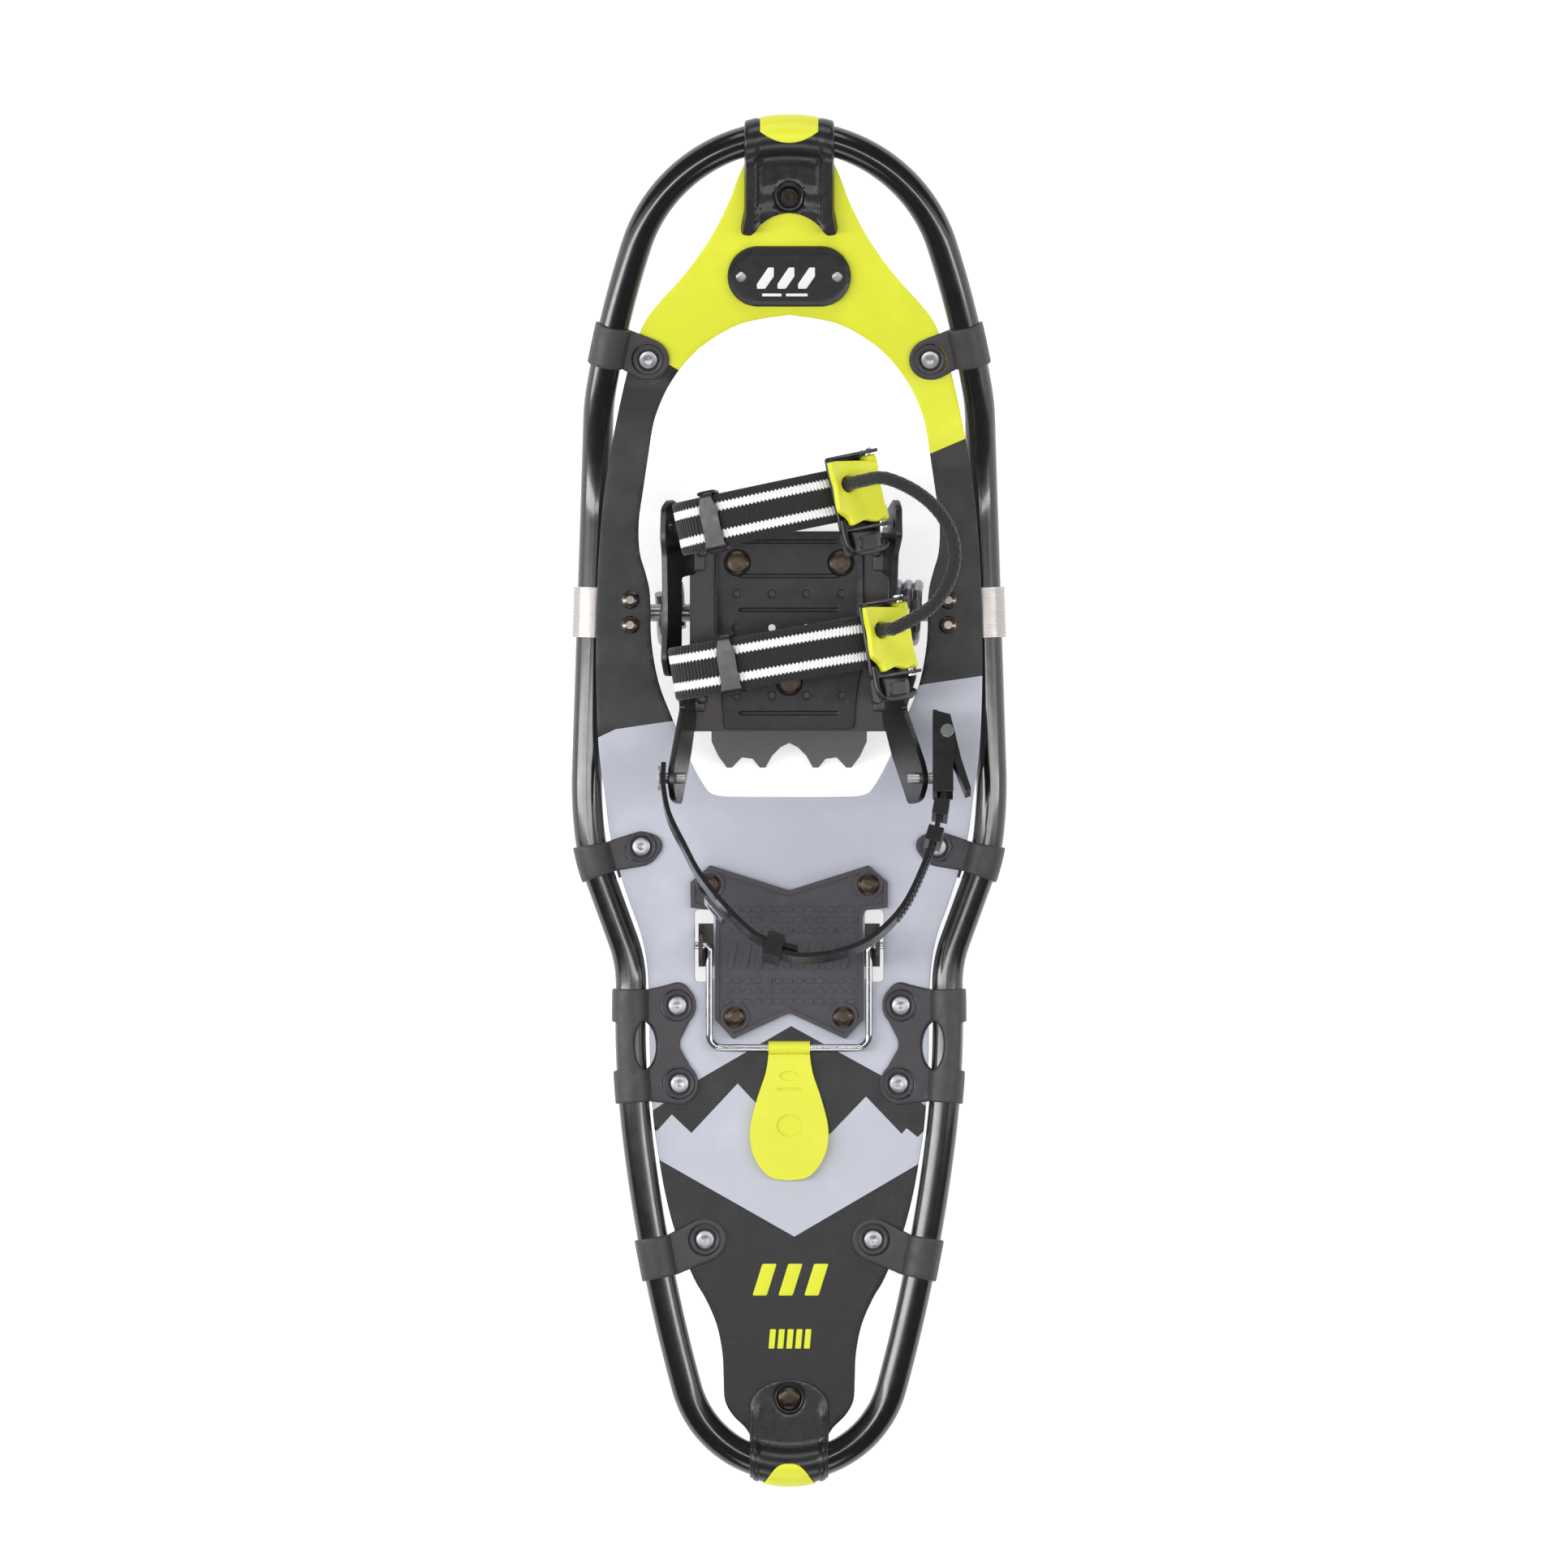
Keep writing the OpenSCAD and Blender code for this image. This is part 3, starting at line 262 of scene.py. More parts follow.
# --- Objects ---
def make(name, verts, faces, mats, body, replaces=(), slot=None, picks=None, angle=38, uvs=None):
    """Mesh object from points in mm; picks is one material number per face."""
    mesh = bpy.data.meshes.new(name)
    mesh.from_pydata([(x * MM, y * MM, z * MM) for x, y, z in verts], [], faces)
    mats = mats if isinstance(mats, (list, tuple)) else [mats]
    for m in mats:
        mesh.materials.append(m)
    if picks is not None:
        mesh.polygons.foreach_set("material_index", picks)
    if uvs is not None:
        layer = mesh.uv_layers.new(name="UVMap")
        flat = [c for f in faces for v in f for c in uvs[v]]
        layer.data.foreach_set("uv", flat)
    mesh.shade_smooth()
    mesh.set_sharp_from_angle(angle=rad(angle))
    mesh.validate()
    mesh.update()
    obj = bpy.data.objects.new(name, mesh)
    bpy.context.scene.collection.objects.link(obj)
    if body:
        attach(obj, body)
    if replaces:
        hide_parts(*([replaces] if isinstance(replaces, str) else replaces))
    return obj


class Build:
    """Points and faces of one piece, gathered from several shapes."""

    def __init__(self):
        self.verts, self.faces, self.picks, self.uvs = [], [], [], []

    def add(self, verts, faces, place=None, pick=0, uvs=None):
        base = len(self.verts)
        flip = place is not None and place.to_3x3().determinant() < 0
        self.verts += [tuple(place @ Vector(v)) if place is not None else tuple(v) for v in verts]
        for f in faces:
            f = [i + base for i in f]
            self.faces.append(f[::-1] if flip else f)
        self.picks += [pick] * len(faces) if isinstance(pick, int) else list(pick)
        self.uvs += uvs if uvs is not None else [(0.0, 0.0)] * len(verts)
    def plate(self, place, *args, pick=0, **how):
        """Adds a plate() of one material."""
        verts, faces, _ = plate(*args, **how)
        self.add(verts, faces, place, pick)

    def make(self, name, mats, body, replaces=(), slot=None, angle=38):
        return make(name, self.verts, self.faces, mats, body, replaces, slot, self.picks, angle,
                    self.uvs)


def rim_points(loops, closed, edge):
    """Rows of points beside every loop, which carry the rounded rim."""
    out = []
    for loop in loops:
        q = np.array(loop, float)
        t = np.roll(q, -1, 0) - np.roll(q, 1, 0)
        n = np.stack([-t[:, 1], t[:, 0]], 1) / np.maximum(np.hypot(*t.T), 1e-9)[:, None]
        for d in (0.15, 0.5, 1.0):
            for sign in (1, -1):
                p = q + n * sign * edge * d
                out.append(p[within(p, loops) & (reach(p, closed) > edge * d * 0.85)])
    return out


def fill_points(loops, closed, edge, step, dots):
    """A staggered grid inside the loops, with rings of points in place of it at the dots."""
    lo, hi = np.min(loops[0], 0), np.max(loops[0], 0)
    xs, ys = np.meshgrid(np.arange(lo[0], hi[0], step), np.arange(lo[1], hi[1], step))
    xs[1::2] += step / 2
    grid = np.stack([xs.ravel(), ys.ravel()], 1)
    rings = []
    for cx, cy, radii in dots:
        rings += [np.array(circle(cx, cy, r, n=max(16, int(r * 9)))) for r in radii]
        grid = grid[np.hypot(grid[:, 0] - cx, grid[:, 1] - cy) > max(radii)]
    p = np.concatenate([grid, *rings])
    return p[within(p, loops) & (reach(p, closed) > edge * 1.25)]


def triangles(points, edges, loops):
    """Counterclockwise triangles over the points, inside the loops, with the edges kept."""
    v, _, faces, _, _, _ = delaunay_2d_cdt([Vector(p) for p in points], edges, [], 0, 1e-4)
    v = np.array([tuple(p) for p in v])
    tri = np.array([f for f in faces if len(f) == 3])
    tri = tri[within(v[tri].mean(1), loops)]
    used = np.unique(tri)
    remap = -np.ones(len(v), int)
    remap[used] = np.arange(len(used))
    v, tri = v[used], remap[tri]
    a = v[tri]
    ccw = np.cross(a[:, 1] - a[:, 0], a[:, 2] - a[:, 0]) > 0
    tri[~ccw] = tri[~ccw][:, ::-1]
    return v, tri


def border(faces):
    """The edges that only one face has."""
    seen = {(f[i], f[(i + 1) % 3]): True for f in faces for i in range(3)}
    return [e for e in seen if (e[1], e[0]) not in seen]


def plate(outline, holes=(), thick=2.0, edge=0.5, step=3.0, res=1.2, rise=None, dots=(), lines=(),
          shape=None, pick=None, under=True, wall_pick=0):
    """Moulded plate: outline and holes in the plane, rounded upper rims of width edge, rise(x, y)
    added to its top, shape(x, y, h) -> 3D. dots are (cx, cy, radii) rings of points, lines are
    kept as edges. pick(x, y) chooses the top's material, wall_pick is that of the rest."""
    loops = [resample(loop, res) for loop in (outline, *holes)]
    closed = [[*loop, loop[0]] for loop in loops]
    pts, cons = [], []
    for loop in loops:
        base = len(pts)
        pts += loop
        cons += [(base + i, base + (i + 1) % len(loop)) for i in range(len(loop))]
    extra = [*rim_points(loops, closed, edge), fill_points(loops, closed, edge, step, dots)]
    for a, b in lines:
        n = max(1, int(math.dist(a, b) / step))
        base = len(pts)
        pts += [(a[0] + (b[0] - a[0]) * k / n, a[1] + (b[1] - a[1]) * k / n) for k in range(n + 1)]
        cons += [(base + k, base + k + 1) for k in range(n)]
    flat, tri = triangles([*pts, *np.concatenate(extra)], cons, loops)
    d = np.clip(reach(flat, closed) / edge, 0, 1)
    top = thick - edge + edge * np.sqrt(np.maximum(0, 1 - (1 - d) ** 2))
    shape = shape or (lambda x, y, h: (x, y, h))
    verts = [shape(x, y, h + (rise(x, y) * float(q) if rise else 0))
             for (x, y), h, q in zip(flat, top, d)]
    verts += [shape(x, y, 0.0) for x, y in flat]
    faces = [list(map(int, f)) for f in tri]
    picks = [pick(x, y) if pick else 0 for x, y in flat[tri].mean(1)]
    n = len(flat)
    walls = [[i, i + n, j + n, j] for i, j in border(faces)]
    lower = [[i + n for i in f[::-1]] for f in faces] if under else []
    return verts, faces + lower + walls, picks + [wall_pick] * (len(lower) + len(walls))


def lathe(profile, n=40):
    """Solid of revolution round Z through (radius, z) points, from the axis to the axis or closed."""
    verts, faces = [], []
    rows = []
    for r, z in profile:
        if r < 1e-6:
            rows.append([len(verts)])
            verts.append((0, 0, z))
        else:
            rows.append(list(range(len(verts), len(verts) + n)))
            verts += [(r * math.cos(2 * math.pi * i / n), r * math.sin(2 * math.pi * i / n), z)
                      for i in range(n)]
    for a, b in zip(rows, rows[1:]):
        for i in range(n):
            j = (i + 1) % n
            if len(a) == 1:
                faces.append([a[0], b[i], b[j]])
            elif len(b) == 1:
                faces.append([a[i], b[0], a[j]])
            else:
                faces.append([a[i], b[i], b[j], a[j]])
    return verts, faces


def rails(p):
    """The side and up directions at each point of a 3D line, carried along without twist."""
    tang = [(p[min(i + 1, len(p) - 1)] - p[max(i - 1, 0)]).normalized() for i in range(len(p))]
    up = Vector((0, 0, 1)) if abs(tang[0].z) < 0.9 else Vector((1, 0, 0))
    out = []
    for t in tang:
        side = t.cross(up).normalized()
        up = side.cross(t).normalized()
        out.append((side, up))
    return out


def sweep(points, radius, n=24):
    """Round tube along the points; radius is a number or radius(distance, turn share)."""
    p = [Vector(q) for q in points]
    fn = radius if callable(radius) else (lambda s, a: radius)
    verts, uvs, faces, s = [], [], [], 0.0
    for i, (side, up) in enumerate(rails(p)):
        if i:
            s += (p[i] - p[i - 1]).length
        for k in range(n):
            a = 2 * math.pi * k / n
            w = fn(s, k / n)
            verts.append(tuple(p[i] + side * (w * math.cos(a)) + up * (w * math.sin(a))))
            uvs.append((s, k / n))
    for i in range(len(p) - 1):
        a, b = i * n, (i + 1) * n
        faces += [[a + k, b + k, b + (k + 1) % n, a + (k + 1) % n] for k in range(n)]
    faces.append(list(range(n)))
    faces.append([(len(p) - 1) * n + k for k in reversed(range(n))])
    return verts, faces, uvs


def along_line(points, step):
    """Points spaced evenly along a 2D or 3D line."""
    p = [Vector(q) for q in points]
    s = [0.0]
    for a, b in zip(p, p[1:]):
        s.append(s[-1] + (b - a).length)
    n = max(2, int(round(s[-1] / step)))
    out, j = [], 0
    for i in range(n + 1):
        d = s[-1] * i / n
        while j < len(s) - 2 and s[j + 1] < d:
            j += 1
        t = (d - s[j]) / max(s[j + 1] - s[j], 1e-9)
        out.append(tuple(p[j].lerp(p[j + 1], min(max(t, 0), 1))))
    return out


def ribbon(line, width, thick, rib, across):
    """Woven band whose middle follows a 2D line (x, z); its width lies along y. rib is the height
    of the weft on both faces. Returns the points, faces and UVs (mm along, share across)."""
    pts = along_line(line, WEAVE_STEP)
    m = len(pts)
    half = [-0.5 + k / across for k in range(across + 1)]
    section = [(v, 1) for v in half] + [(v, -1) for v in reversed(half)]
    verts, uvs, s = [], [], 0.0
    for i, (x, z) in enumerate(pts):
        if i:
            s += math.dist(pts[i - 1], pts[i])
        a, b = pts[max(i - 1, 0)], pts[min(i + 1, m - 1)]
        t = Vector((b[0] - a[0], b[1] - a[1])).normalized()
        wave = rib * (abs(math.sin(math.pi * s / WEFT_PITCH)) - 0.5)
        selvedge = rib * 0.45 * math.sin(2 * math.pi * s / WEFT_PITCH)
        for v, face in section:
            e = min(1.0, (0.5 - abs(v)) * width / (thick * 0.5))
            crown = thick / 2 * (0.35 + 0.65 * math.sqrt(max(0, 1 - (1 - e) ** 2)))
            wide = v * width + (math.copysign(selvedge, v) if abs(v) > 0.47 else 0)
            h = face * (crown + wave * min(1, e * 2))
            verts.append((x - t.y * h, wide, z + t.x * h))
            uvs.append((s, v + 0.5))
    w = len(section)
    ends = [list(range(w))[::-1], [(m - 1) * w + k for k in range(w)]]
    return verts, quads(m, w) + ends, uvs


# --- Path of the frame tube, as in the model ---
H_TOE = 88.2
UP_A = math.degrees(math.asin(sin(H_TOE) * sin(TOE_UP)))
H_FLAT = math.degrees(math.atan2(sin(H_TOE) * cos(TOE_UP), cos(H_TOE)))
PLAN = [("l", 115.6, 0), ("t", 200, 8.4), ("t", 88, 13.5), ("l", 31.3, 0), ("t", -60, 21.7),
        ("t", 469, 8.7), ("t", 803, 8.3)]
TOE = [("t", TOE_R, 72.4), ("t", 500, 8), ("t", 110, 7.8), ("l", 10.8, 0)]
BEND_R = 150.0


def go(p, g):
    if g[0] == "l":
        return (p[0] + g[1] * cos(p[2]), p[1] - g[1] * sin(p[2]), p[2])
    a = math.copysign(g[2], g[1])
    return (p[0] + g[1] * (sin(p[2] + a) - sin(p[2])), p[1] + g[1] * (cos(p[2] + a) - cos(p[2])),
            p[2] + a)


def walk(path, p):
    for g in path:
        p = go(p, g)
    return p


toe_end = walk(TOE, (0, 0, 0))
TOE_Z = AXIS_H - toe_end[1] * sin(TOE_UP) + BEND_R * (1 - cos(UP_A))
tail_start = walk(PLAN, (toe_end[0] + BEND_R * sin(UP_A) * cos(H_FLAT),
                         TOE_LEN + toe_end[1] * cos(TOE_UP) - BEND_R * sin(UP_A) * sin(H_FLAT), H_FLAT))
TAIL_R = tail_start[0] / sin(tail_start[2])
TAIL_Y = tail_start[1] - TAIL_R * cos(tail_start[2]) - TAIL_R
ROLL = -math.degrees(math.atan(tan(TOE_UP) * cos(H_TOE)))
PATH = [*TOE, ("roll", ROLL, 0), ("v", BEND_R, UP_A), *PLAN, ("t", TAIL_R, 180 - tail_start[2])]


def seg_len(g):
    return g[1] if g[0] == "l" else 0 if g[0] == "roll" else abs(g[1]) * rad(g[2])


PATH_LEN = sum(seg_len(g) for g in PATH)


def step_matrix(g, share):
    if g[0] == "l":
        return move(g[1] * share)
    if g[0] == "t":
        return move(0, -g[1]) @ turn(-math.copysign(g[2] * share, g[1]), "Z") @ move(0, g[1])
    if g[0] == "v":
        return move(0, 0, g[1]) @ turn(-g[2] * share, "Y") @ move(0, 0, -g[1])
    return turn(g[1], "X")


TOE_FRAME = move(0, TOE_LEN, TOE_Z) @ turn(TOE_UP, "X")
TAIL_FRAME = move(0, TAIL_Y, AXIS_H) @ turn(180, "Z")
FLIP = Matrix.Scale(-1, 4, (1, 0, 0))


def at_path(d, k=1):
    """Frame on the tube axis at distance d: X along it, Y outwards, Z up; k -1 is the left side."""
    m = TOE_FRAME.copy()
    for i, g in enumerate(PATH):
        n = seg_len(g)
        if d <= n or i == len(PATH) - 1:
            m = m @ step_matrix(g, d / n if n else 1)
            break
        m = m @ step_matrix(g, 1)
        d -= n
    return FLIP @ m if k < 0 else m


RAMP = (-12, 38)       # y where the deck starts and ends its rise to the binding
TOE_RAMP = (120, 178)  # and the smaller rise in front of it
SLOPE_Y = 195          # the toe's straight slope starts here


def swell(y, span):
    return (1 - cos((y - span[0]) / (span[1] - span[0]) * 180)) / 2


def deck_z(y):
    """Height of the middle of the deck sheet."""
    if y > SLOPE_Y:
        return TOE_Z - (TOE_LEN - y) * tan(TOE_UP)
    if y > TOE_RAMP[1]:
        share = (y - TOE_RAMP[1]) / (SLOPE_Y - TOE_RAMP[1])
        return AXIS_H + TOP_RISE - share * (AXIS_H + TOP_RISE - deck_z(SLOPE_Y + 0.01))
    if y > TOE_RAMP[0]:
        return AXIS_H + DECK_RISE + swell(y, TOE_RAMP) * (TOP_RISE - DECK_RISE)
    if y > RAMP[1]:
        return AXIS_H + DECK_RISE
    if y > RAMP[0]:
        return AXIS_H + swell(y, RAMP) * DECK_RISE
    return AXIS_H


# --- Materials ---
def srgb(r, g, b):
    return tuple((c / 255 / 12.92) if c <= 10 else ((c / 255 + 0.055) / 1.055) ** 2.4
                 for c in (r, g, b)) + (1.0,)


class Finish:
    """Principled material with helpers for grain, colour drift and worn edges."""

    def __init__(self, name, colour, rough=0.5, metal=0.0, coat=0.0, spec=0.5):
        self.mat = bpy.data.materials.new(name)
        self.mat.use_nodes = True
        self.tree = self.mat.node_tree
        self.bsdf = self.tree.nodes["Principled BSDF"]
        self.set("Base Color", colour)
        self.set("Roughness", rough)
        self.set("Metallic", metal)
        self.set("Coat Weight", coat)
        self.set("Coat Roughness", 0.08)
        self.set("Specular IOR Level", spec)
        self.colour_out = colour
        self.normal_out = None
        self.coord = self.node("ShaderNodeTexCoord")

    def set(self, socket, value):
        self.bsdf.inputs[socket].default_value = value

    def feed(self, out, socket):
        self.tree.links.new(out, self.bsdf.inputs[socket])
        return self

    def node(self, kind, links=None, **values):
        n = self.tree.nodes.new(kind)
        for k, v in values.items():
            setattr(n, k, v)
        for k, v in (links or {}).items():
            if isinstance(v, bpy.types.NodeSocket):
                self.tree.links.new(v, n.inputs[k])
            else:
                n.inputs[k].default_value = v
        return n

    def maths(self, operation, *values):
        return self.node("ShaderNodeMath", dict(enumerate(values)), operation=operation).outputs[0]

    def noise(self, scale, detail=3.0, stretch=None):
        vec = self.coord.outputs["Object"]
        if stretch:
            vec = self.node("ShaderNodeMapping", {"Vector": vec, "Scale": stretch}).outputs[0]
        return self.node("ShaderNodeTexNoise", {"Vector": vec, "Scale": scale, "Detail": detail,
                                                "Roughness": 0.55}).outputs["Fac"]

    def ramp(self, fac, lo, hi, to0=0.0, to1=1.0):
        return self.node("ShaderNodeMapRange", {"Value": fac, "From Min": lo, "From Max": hi,
                                                "To Min": to0, "To Max": to1}).outputs[0]

    def tint(self, fac, colour):
        """Mixes a second colour over the base by a factor."""
        mix = self.node("ShaderNodeMix", data_type="RGBA")
        for k, v in ((0, fac), (6, self.colour_out), (7, colour)):
            if isinstance(v, bpy.types.NodeSocket):
                self.tree.links.new(v, mix.inputs[k])
            else:
                mix.inputs[k].default_value = v
        self.colour_out = mix.outputs[2]
        return self.feed(self.colour_out, "Base Color")

    def bump(self, fac, depth_mm, strength=1.0):
        links = {"Height": fac, "Distance": depth_mm * MM, "Strength": strength}
        if self.normal_out is not None:
            links["Normal"] = self.normal_out
        self.normal_out = self.node("ShaderNodeBump", links).outputs[0]
        return self.feed(self.normal_out, "Normal")

    def bevel(self, radius_mm):
        return self.node("ShaderNodeBevel", {"Radius": radius_mm * MM}, samples=4).outputs[0]

    def round(self, radius_mm):
        self.normal_out = self.bevel(radius_mm)
        return self.feed(self.normal_out, "Normal")

    def worn(self, colour):
        """Lightens edges where the rounded normal leaves the true one."""
        true_normal = self.node("ShaderNodeNewGeometry").outputs["Normal"]
        dot = self.node("ShaderNodeVectorMath", {0: self.bevel(0.5), 1: true_normal},
                        operation="DOT_PRODUCT").outputs["Value"]
        edge = self.ramp(dot, 0.96, 0.75, 0, 0.6)
        patches = self.ramp(self.noise(900, 2), 0.35, 0.65)
        return self.tint(self.maths("MULTIPLY", edge, patches), colour)

    def vary(self, scale, lo, hi):
        """Roughness that drifts with a noise."""
        return self.feed(self.ramp(self.noise(scale, 3), 0.3, 0.7, lo, hi), "Roughness")


def plastic(name, rgb, rough, grain=1500, depth=0.05, dust=0.25):
    f = Finish(name, srgb(*rgb), rough)
    lighter = srgb(*[min(255, c * 1.22 + 8) for c in rgb])
    f.round(0.35).bump(f.noise(grain, 2), depth, 0.7)
    f.tint(f.ramp(f.noise(60, 4), 0.5, 0.8, 0, dust), lighter)
    f.vary(240, rough * 0.85, rough * 1.15)
    f.worn(lighter)
    return f.mat


def metal(name, rgb, rough, scratch=(900, 60, 900), depth=0.02, dirt=(60, 58, 56), amount=0.35,
          drift=0.3):
    f = Finish(name, srgb(*rgb), rough, metal=1.0)
    f.round(0.25).bump(f.noise(1.0, 3, scratch), depth, 0.12)
    f.tint(f.ramp(f.noise(180, 5), 0.5, 0.75, 0, amount), srgb(*dirt))
    f.vary(400, rough * (1 - drift), rough * (1 + drift))
    return f.mat


def tube_paint():
    f = Finish("tube_gloss_black", srgb(13, 12, 14), 0.22, coat=0.5, spec=0.45)
    f.bump(f.noise(420, 2), 0.012, 0.2)
    f.tint(f.ramp(f.noise(2600, 2), 0.62, 0.8, 0, 0.35), srgb(30, 29, 32))
    f.vary(160, 0.18, 0.25)
    return f.mat


def deck_sheet(name, rgb, rough, speck, weave, fleck):
    """Coated sheet: fine woven dots under the coat, pale specks and rubbed marks."""
    f = Finish(name, srgb(*rgb), rough)
    vec = f.coord.outputs["Object"]
    waves = []
    for axis in ("X", "Y"):
        waves.append(f.node("ShaderNodeTexWave", {"Vector": vec, "Scale": 260.0, "Distortion": 0.3},
                            bands_direction=axis, wave_type="BANDS").outputs["Fac"])
    dots = f.maths("MULTIPLY", *waves)
    f.bump(dots, weave, 0.8)
    f.bump(f.noise(35, 3), 0.5, 0.25)
    f.bump(f.noise(1800, 2), 0.03, 0.5)
    f.tint(f.ramp(dots, 0.55, 0.95, 0, speck), srgb(*fleck))
    f.tint(f.ramp(f.noise(28, 5), 0.52, 0.8, 0, 0.4), srgb(*[min(255, c * 1.12 + 5) for c in rgb]))
    f.tint(f.ramp(f.noise(3400, 2), 0.7, 0.82, 0, 0.5), srgb(*fleck))
    f.vary(90, rough * 0.85, rough * 1.2)
    return f.mat


def webbing_cloth():
    """Black weave with two white stripes; UV x runs along the strap in mm, y across it."""
    f = Finish("webbing_weave", srgb(24, 22, 24), 0.8)
    f.set("Sheen Weight", 0.25)
    f.set("Sheen Roughness", 0.5)
    uv = f.node("ShaderNodeSeparateXYZ", {"Vector": f.coord.outputs["UV"]})
    zig = f.maths("SINE", f.maths("MULTIPLY", uv.outputs[0], 3.49))
    across = f.maths("MULTIPLY_ADD", zig, 0.016, uv.outputs[1])
    stripes = [f.ramp(f.maths("ABSOLUTE", f.maths("SUBTRACT", across, middle)), 0.072, 0.082, 1.0, 0.0)
               for middle in (0.235, 0.765)]
    f.tint(f.ramp(f.noise(2200, 2), 0.5, 0.8, 0, 0.35), srgb(52, 50, 52))
    f.tint(f.maths("MAXIMUM", *stripes), srgb(240, 240, 243))
    thread = f.node("ShaderNodeTexWave", {"Vector": f.coord.outputs["UV"], "Scale": 5.2,
                                          "Distortion": 0.4}, bands_direction="Y").outputs["Fac"]
    f.bump(thread, 0.12, 0.7)
    f.bump(f.noise(2600, 2), 0.08, 0.6)
    return f.mat


def braid_cloth():
    f = Finish("cord_braid", srgb(22, 20, 22), 0.75)
    f.set("Sheen Weight", 0.3)
    f.bump(f.noise(3000, 3), 0.08, 0.8)
    f.tint(f.ramp(f.noise(2400, 2), 0.45, 0.75, 0, 0.6), srgb(44, 42, 43))
    return f.mat


M_TUBE = tube_paint()
M_CLIP = plastic("clip_plastic", (56, 52, 57), 0.46, depth=0.06)
M_TOE = plastic("toe_plastic", (28, 27, 29), 0.3, depth=0.03)
M_YELLOW = plastic("yellow_plastic", (226, 229, 52), 0.42, grain=900, depth=0.03, dust=0.2)
M_BLACK = plastic("black_plastic", (23, 22, 24), 0.32, depth=0.05)
M_GRIP = plastic("footbed_plastic", (29, 28, 33), 0.5, grain=2100, depth=0.16)
M_HEEL = plastic("heel_plastic", (62, 59, 65), 0.5, grain=1900, depth=0.07)
M_RUBBER = plastic("strap_rubber", (27, 26, 28), 0.25, grain=800, depth=0.02)
M_BADGE = plastic("badge_plastic", (25, 24, 26), 0.4, depth=0.03)
M_PRINT = plastic("white_print", (236, 236, 238), 0.5, depth=0.02, dust=0.1)
M_RIVET = metal("rivet_metal", (176, 174, 178), 0.42, depth=0.02, amount=0.25)
M_DARKRIVET = metal("dark_rivet", (70, 62, 53), 0.34, amount=0.35, dirt=(30, 28, 26))
M_DOME = metal("dome_rivet", (112, 104, 98), 0.2, depth=0.004, amount=0.15, drift=0.1)
M_BAND = metal("pivot_band", (178, 173, 170), 0.34, depth=0.006, amount=0.15, dirt=(120, 116, 112),
               drift=0.1)
M_STEEL = metal("axle_steel", (140, 141, 146), 0.3, scratch=(60, 900, 900), depth=0.006,
                amount=0.15, drift=0.1)
M_CRAMPON = metal("crampon_steel", (66, 64, 63), 0.4, depth=0.004, amount=0.1, dirt=(58, 56, 54),
                  drift=0.05)
M_CHROME = metal("chrome_wire", (206, 206, 210), 0.12, depth=0.002, amount=0.08, drift=0.1)
M_PIN = metal("pin_steel", (200, 203, 207), 0.25, depth=0.004, amount=0.1, drift=0.1)
M_DECK_Y = deck_sheet("deck_yellow", (222, 227, 44), 0.45, 0.16, 0.03, (206, 212, 30))
M_DECK_K = deck_sheet("deck_black", (19, 18, 20), 0.38, 0.3, 0.05, (60, 62, 72))
M_DECK_G = deck_sheet("deck_grey", (192, 195, 207), 0.5, 0.1, 0.02, (178, 182, 196))
M_DECK_CUT = plastic("deck_cut_edge", (196, 196, 198), 0.7, depth=0.1, dust=0.3)
M_MARK = deck_sheet("deck_mark", (224, 229, 40), 0.45, 0.1, 0.03, (206, 212, 30))
M_WEB = webbing_cloth()
M_BRAID = braid_cloth()


def dress(mat, *names):
    for name in names:
        mesh = nodes[name].data
        mesh.materials.clear()
        mesh.materials.append(mat)


# --- Camera and light ---
VIEW_MID = (-2.4, 8.65)
VIEW_WIDTH = 726.8
CAM_UP = 7.0

cam = bpy.data.cameras.new("camera")
cam.sensor_width = 36.0
cam.lens = 36.0 * CAM_UP / (VIEW_WIDTH * MM)
cam.clip_end = 60.0
camera = bpy.data.objects.new("camera", cam)
camera.location = (VIEW_MID[0] * MM, VIEW_MID[1] * MM, AXIS_H * MM + CAM_UP)
bpy.context.scene.collection.objects.link(camera)
bpy.context.scene.camera = camera
bpy.context.scene.view_settings.view_transform = "Standard"


def area(name, tilt_x, tilt_y, far, size, power):
    """Soft light over the object, tilted off the vertical about Y (to the side) and X."""
    data = bpy.data.lights.new(name, "AREA")
    data.shape = "RECTANGLE"
    data.size, data.size_y = size
    data.energy = power
    obj = bpy.data.objects.new(name, data)
    way = Vector((tan(tilt_x), tan(tilt_y), 1)).normalized()
    obj.location = Vector((0, 0, 0.04)) + way * far
    obj.rotation_euler = way.to_track_quat("Z", "Y").to_euler()
    bpy.context.scene.collection.objects.link(obj)


for lamp in (("strip_left", -43, 0, 1.6, (0.22, 2.2), 17), ("strip_right", 27, 0, 1.7, (0.12, 2.2), 10),
             ("soft_left", -66, 10, 2.0, (0.9, 2.0), 7.5), ("soft_right", 64, 6, 2.0, (0.9, 2.0), 7.5),
             ("soft_head", 0, 58, 2.2, (1.6, 0.8), 12), ("soft_foot", 0, -60, 2.2, (1.6, 0.8), 10)):
    area(*lamp)

world = bpy.data.worlds.new("studio")
bpy.context.scene.world = world
world.use_nodes = True
sky = world.node_tree
back = sky.nodes["Background"]
back.inputs["Color"].default_value = (1, 1, 1, 1)
path = sky.nodes.new("ShaderNodeLightPath")
level = sky.nodes.new("ShaderNodeMapRange")
level.inputs["To Min"].default_value = 0.16
level.inputs["To Max"].default_value = 1.05
sky.links.new(path.outputs["Is Camera Ray"], level.inputs["Value"])
sky.links.new(level.outputs[0], back.inputs["Strength"])

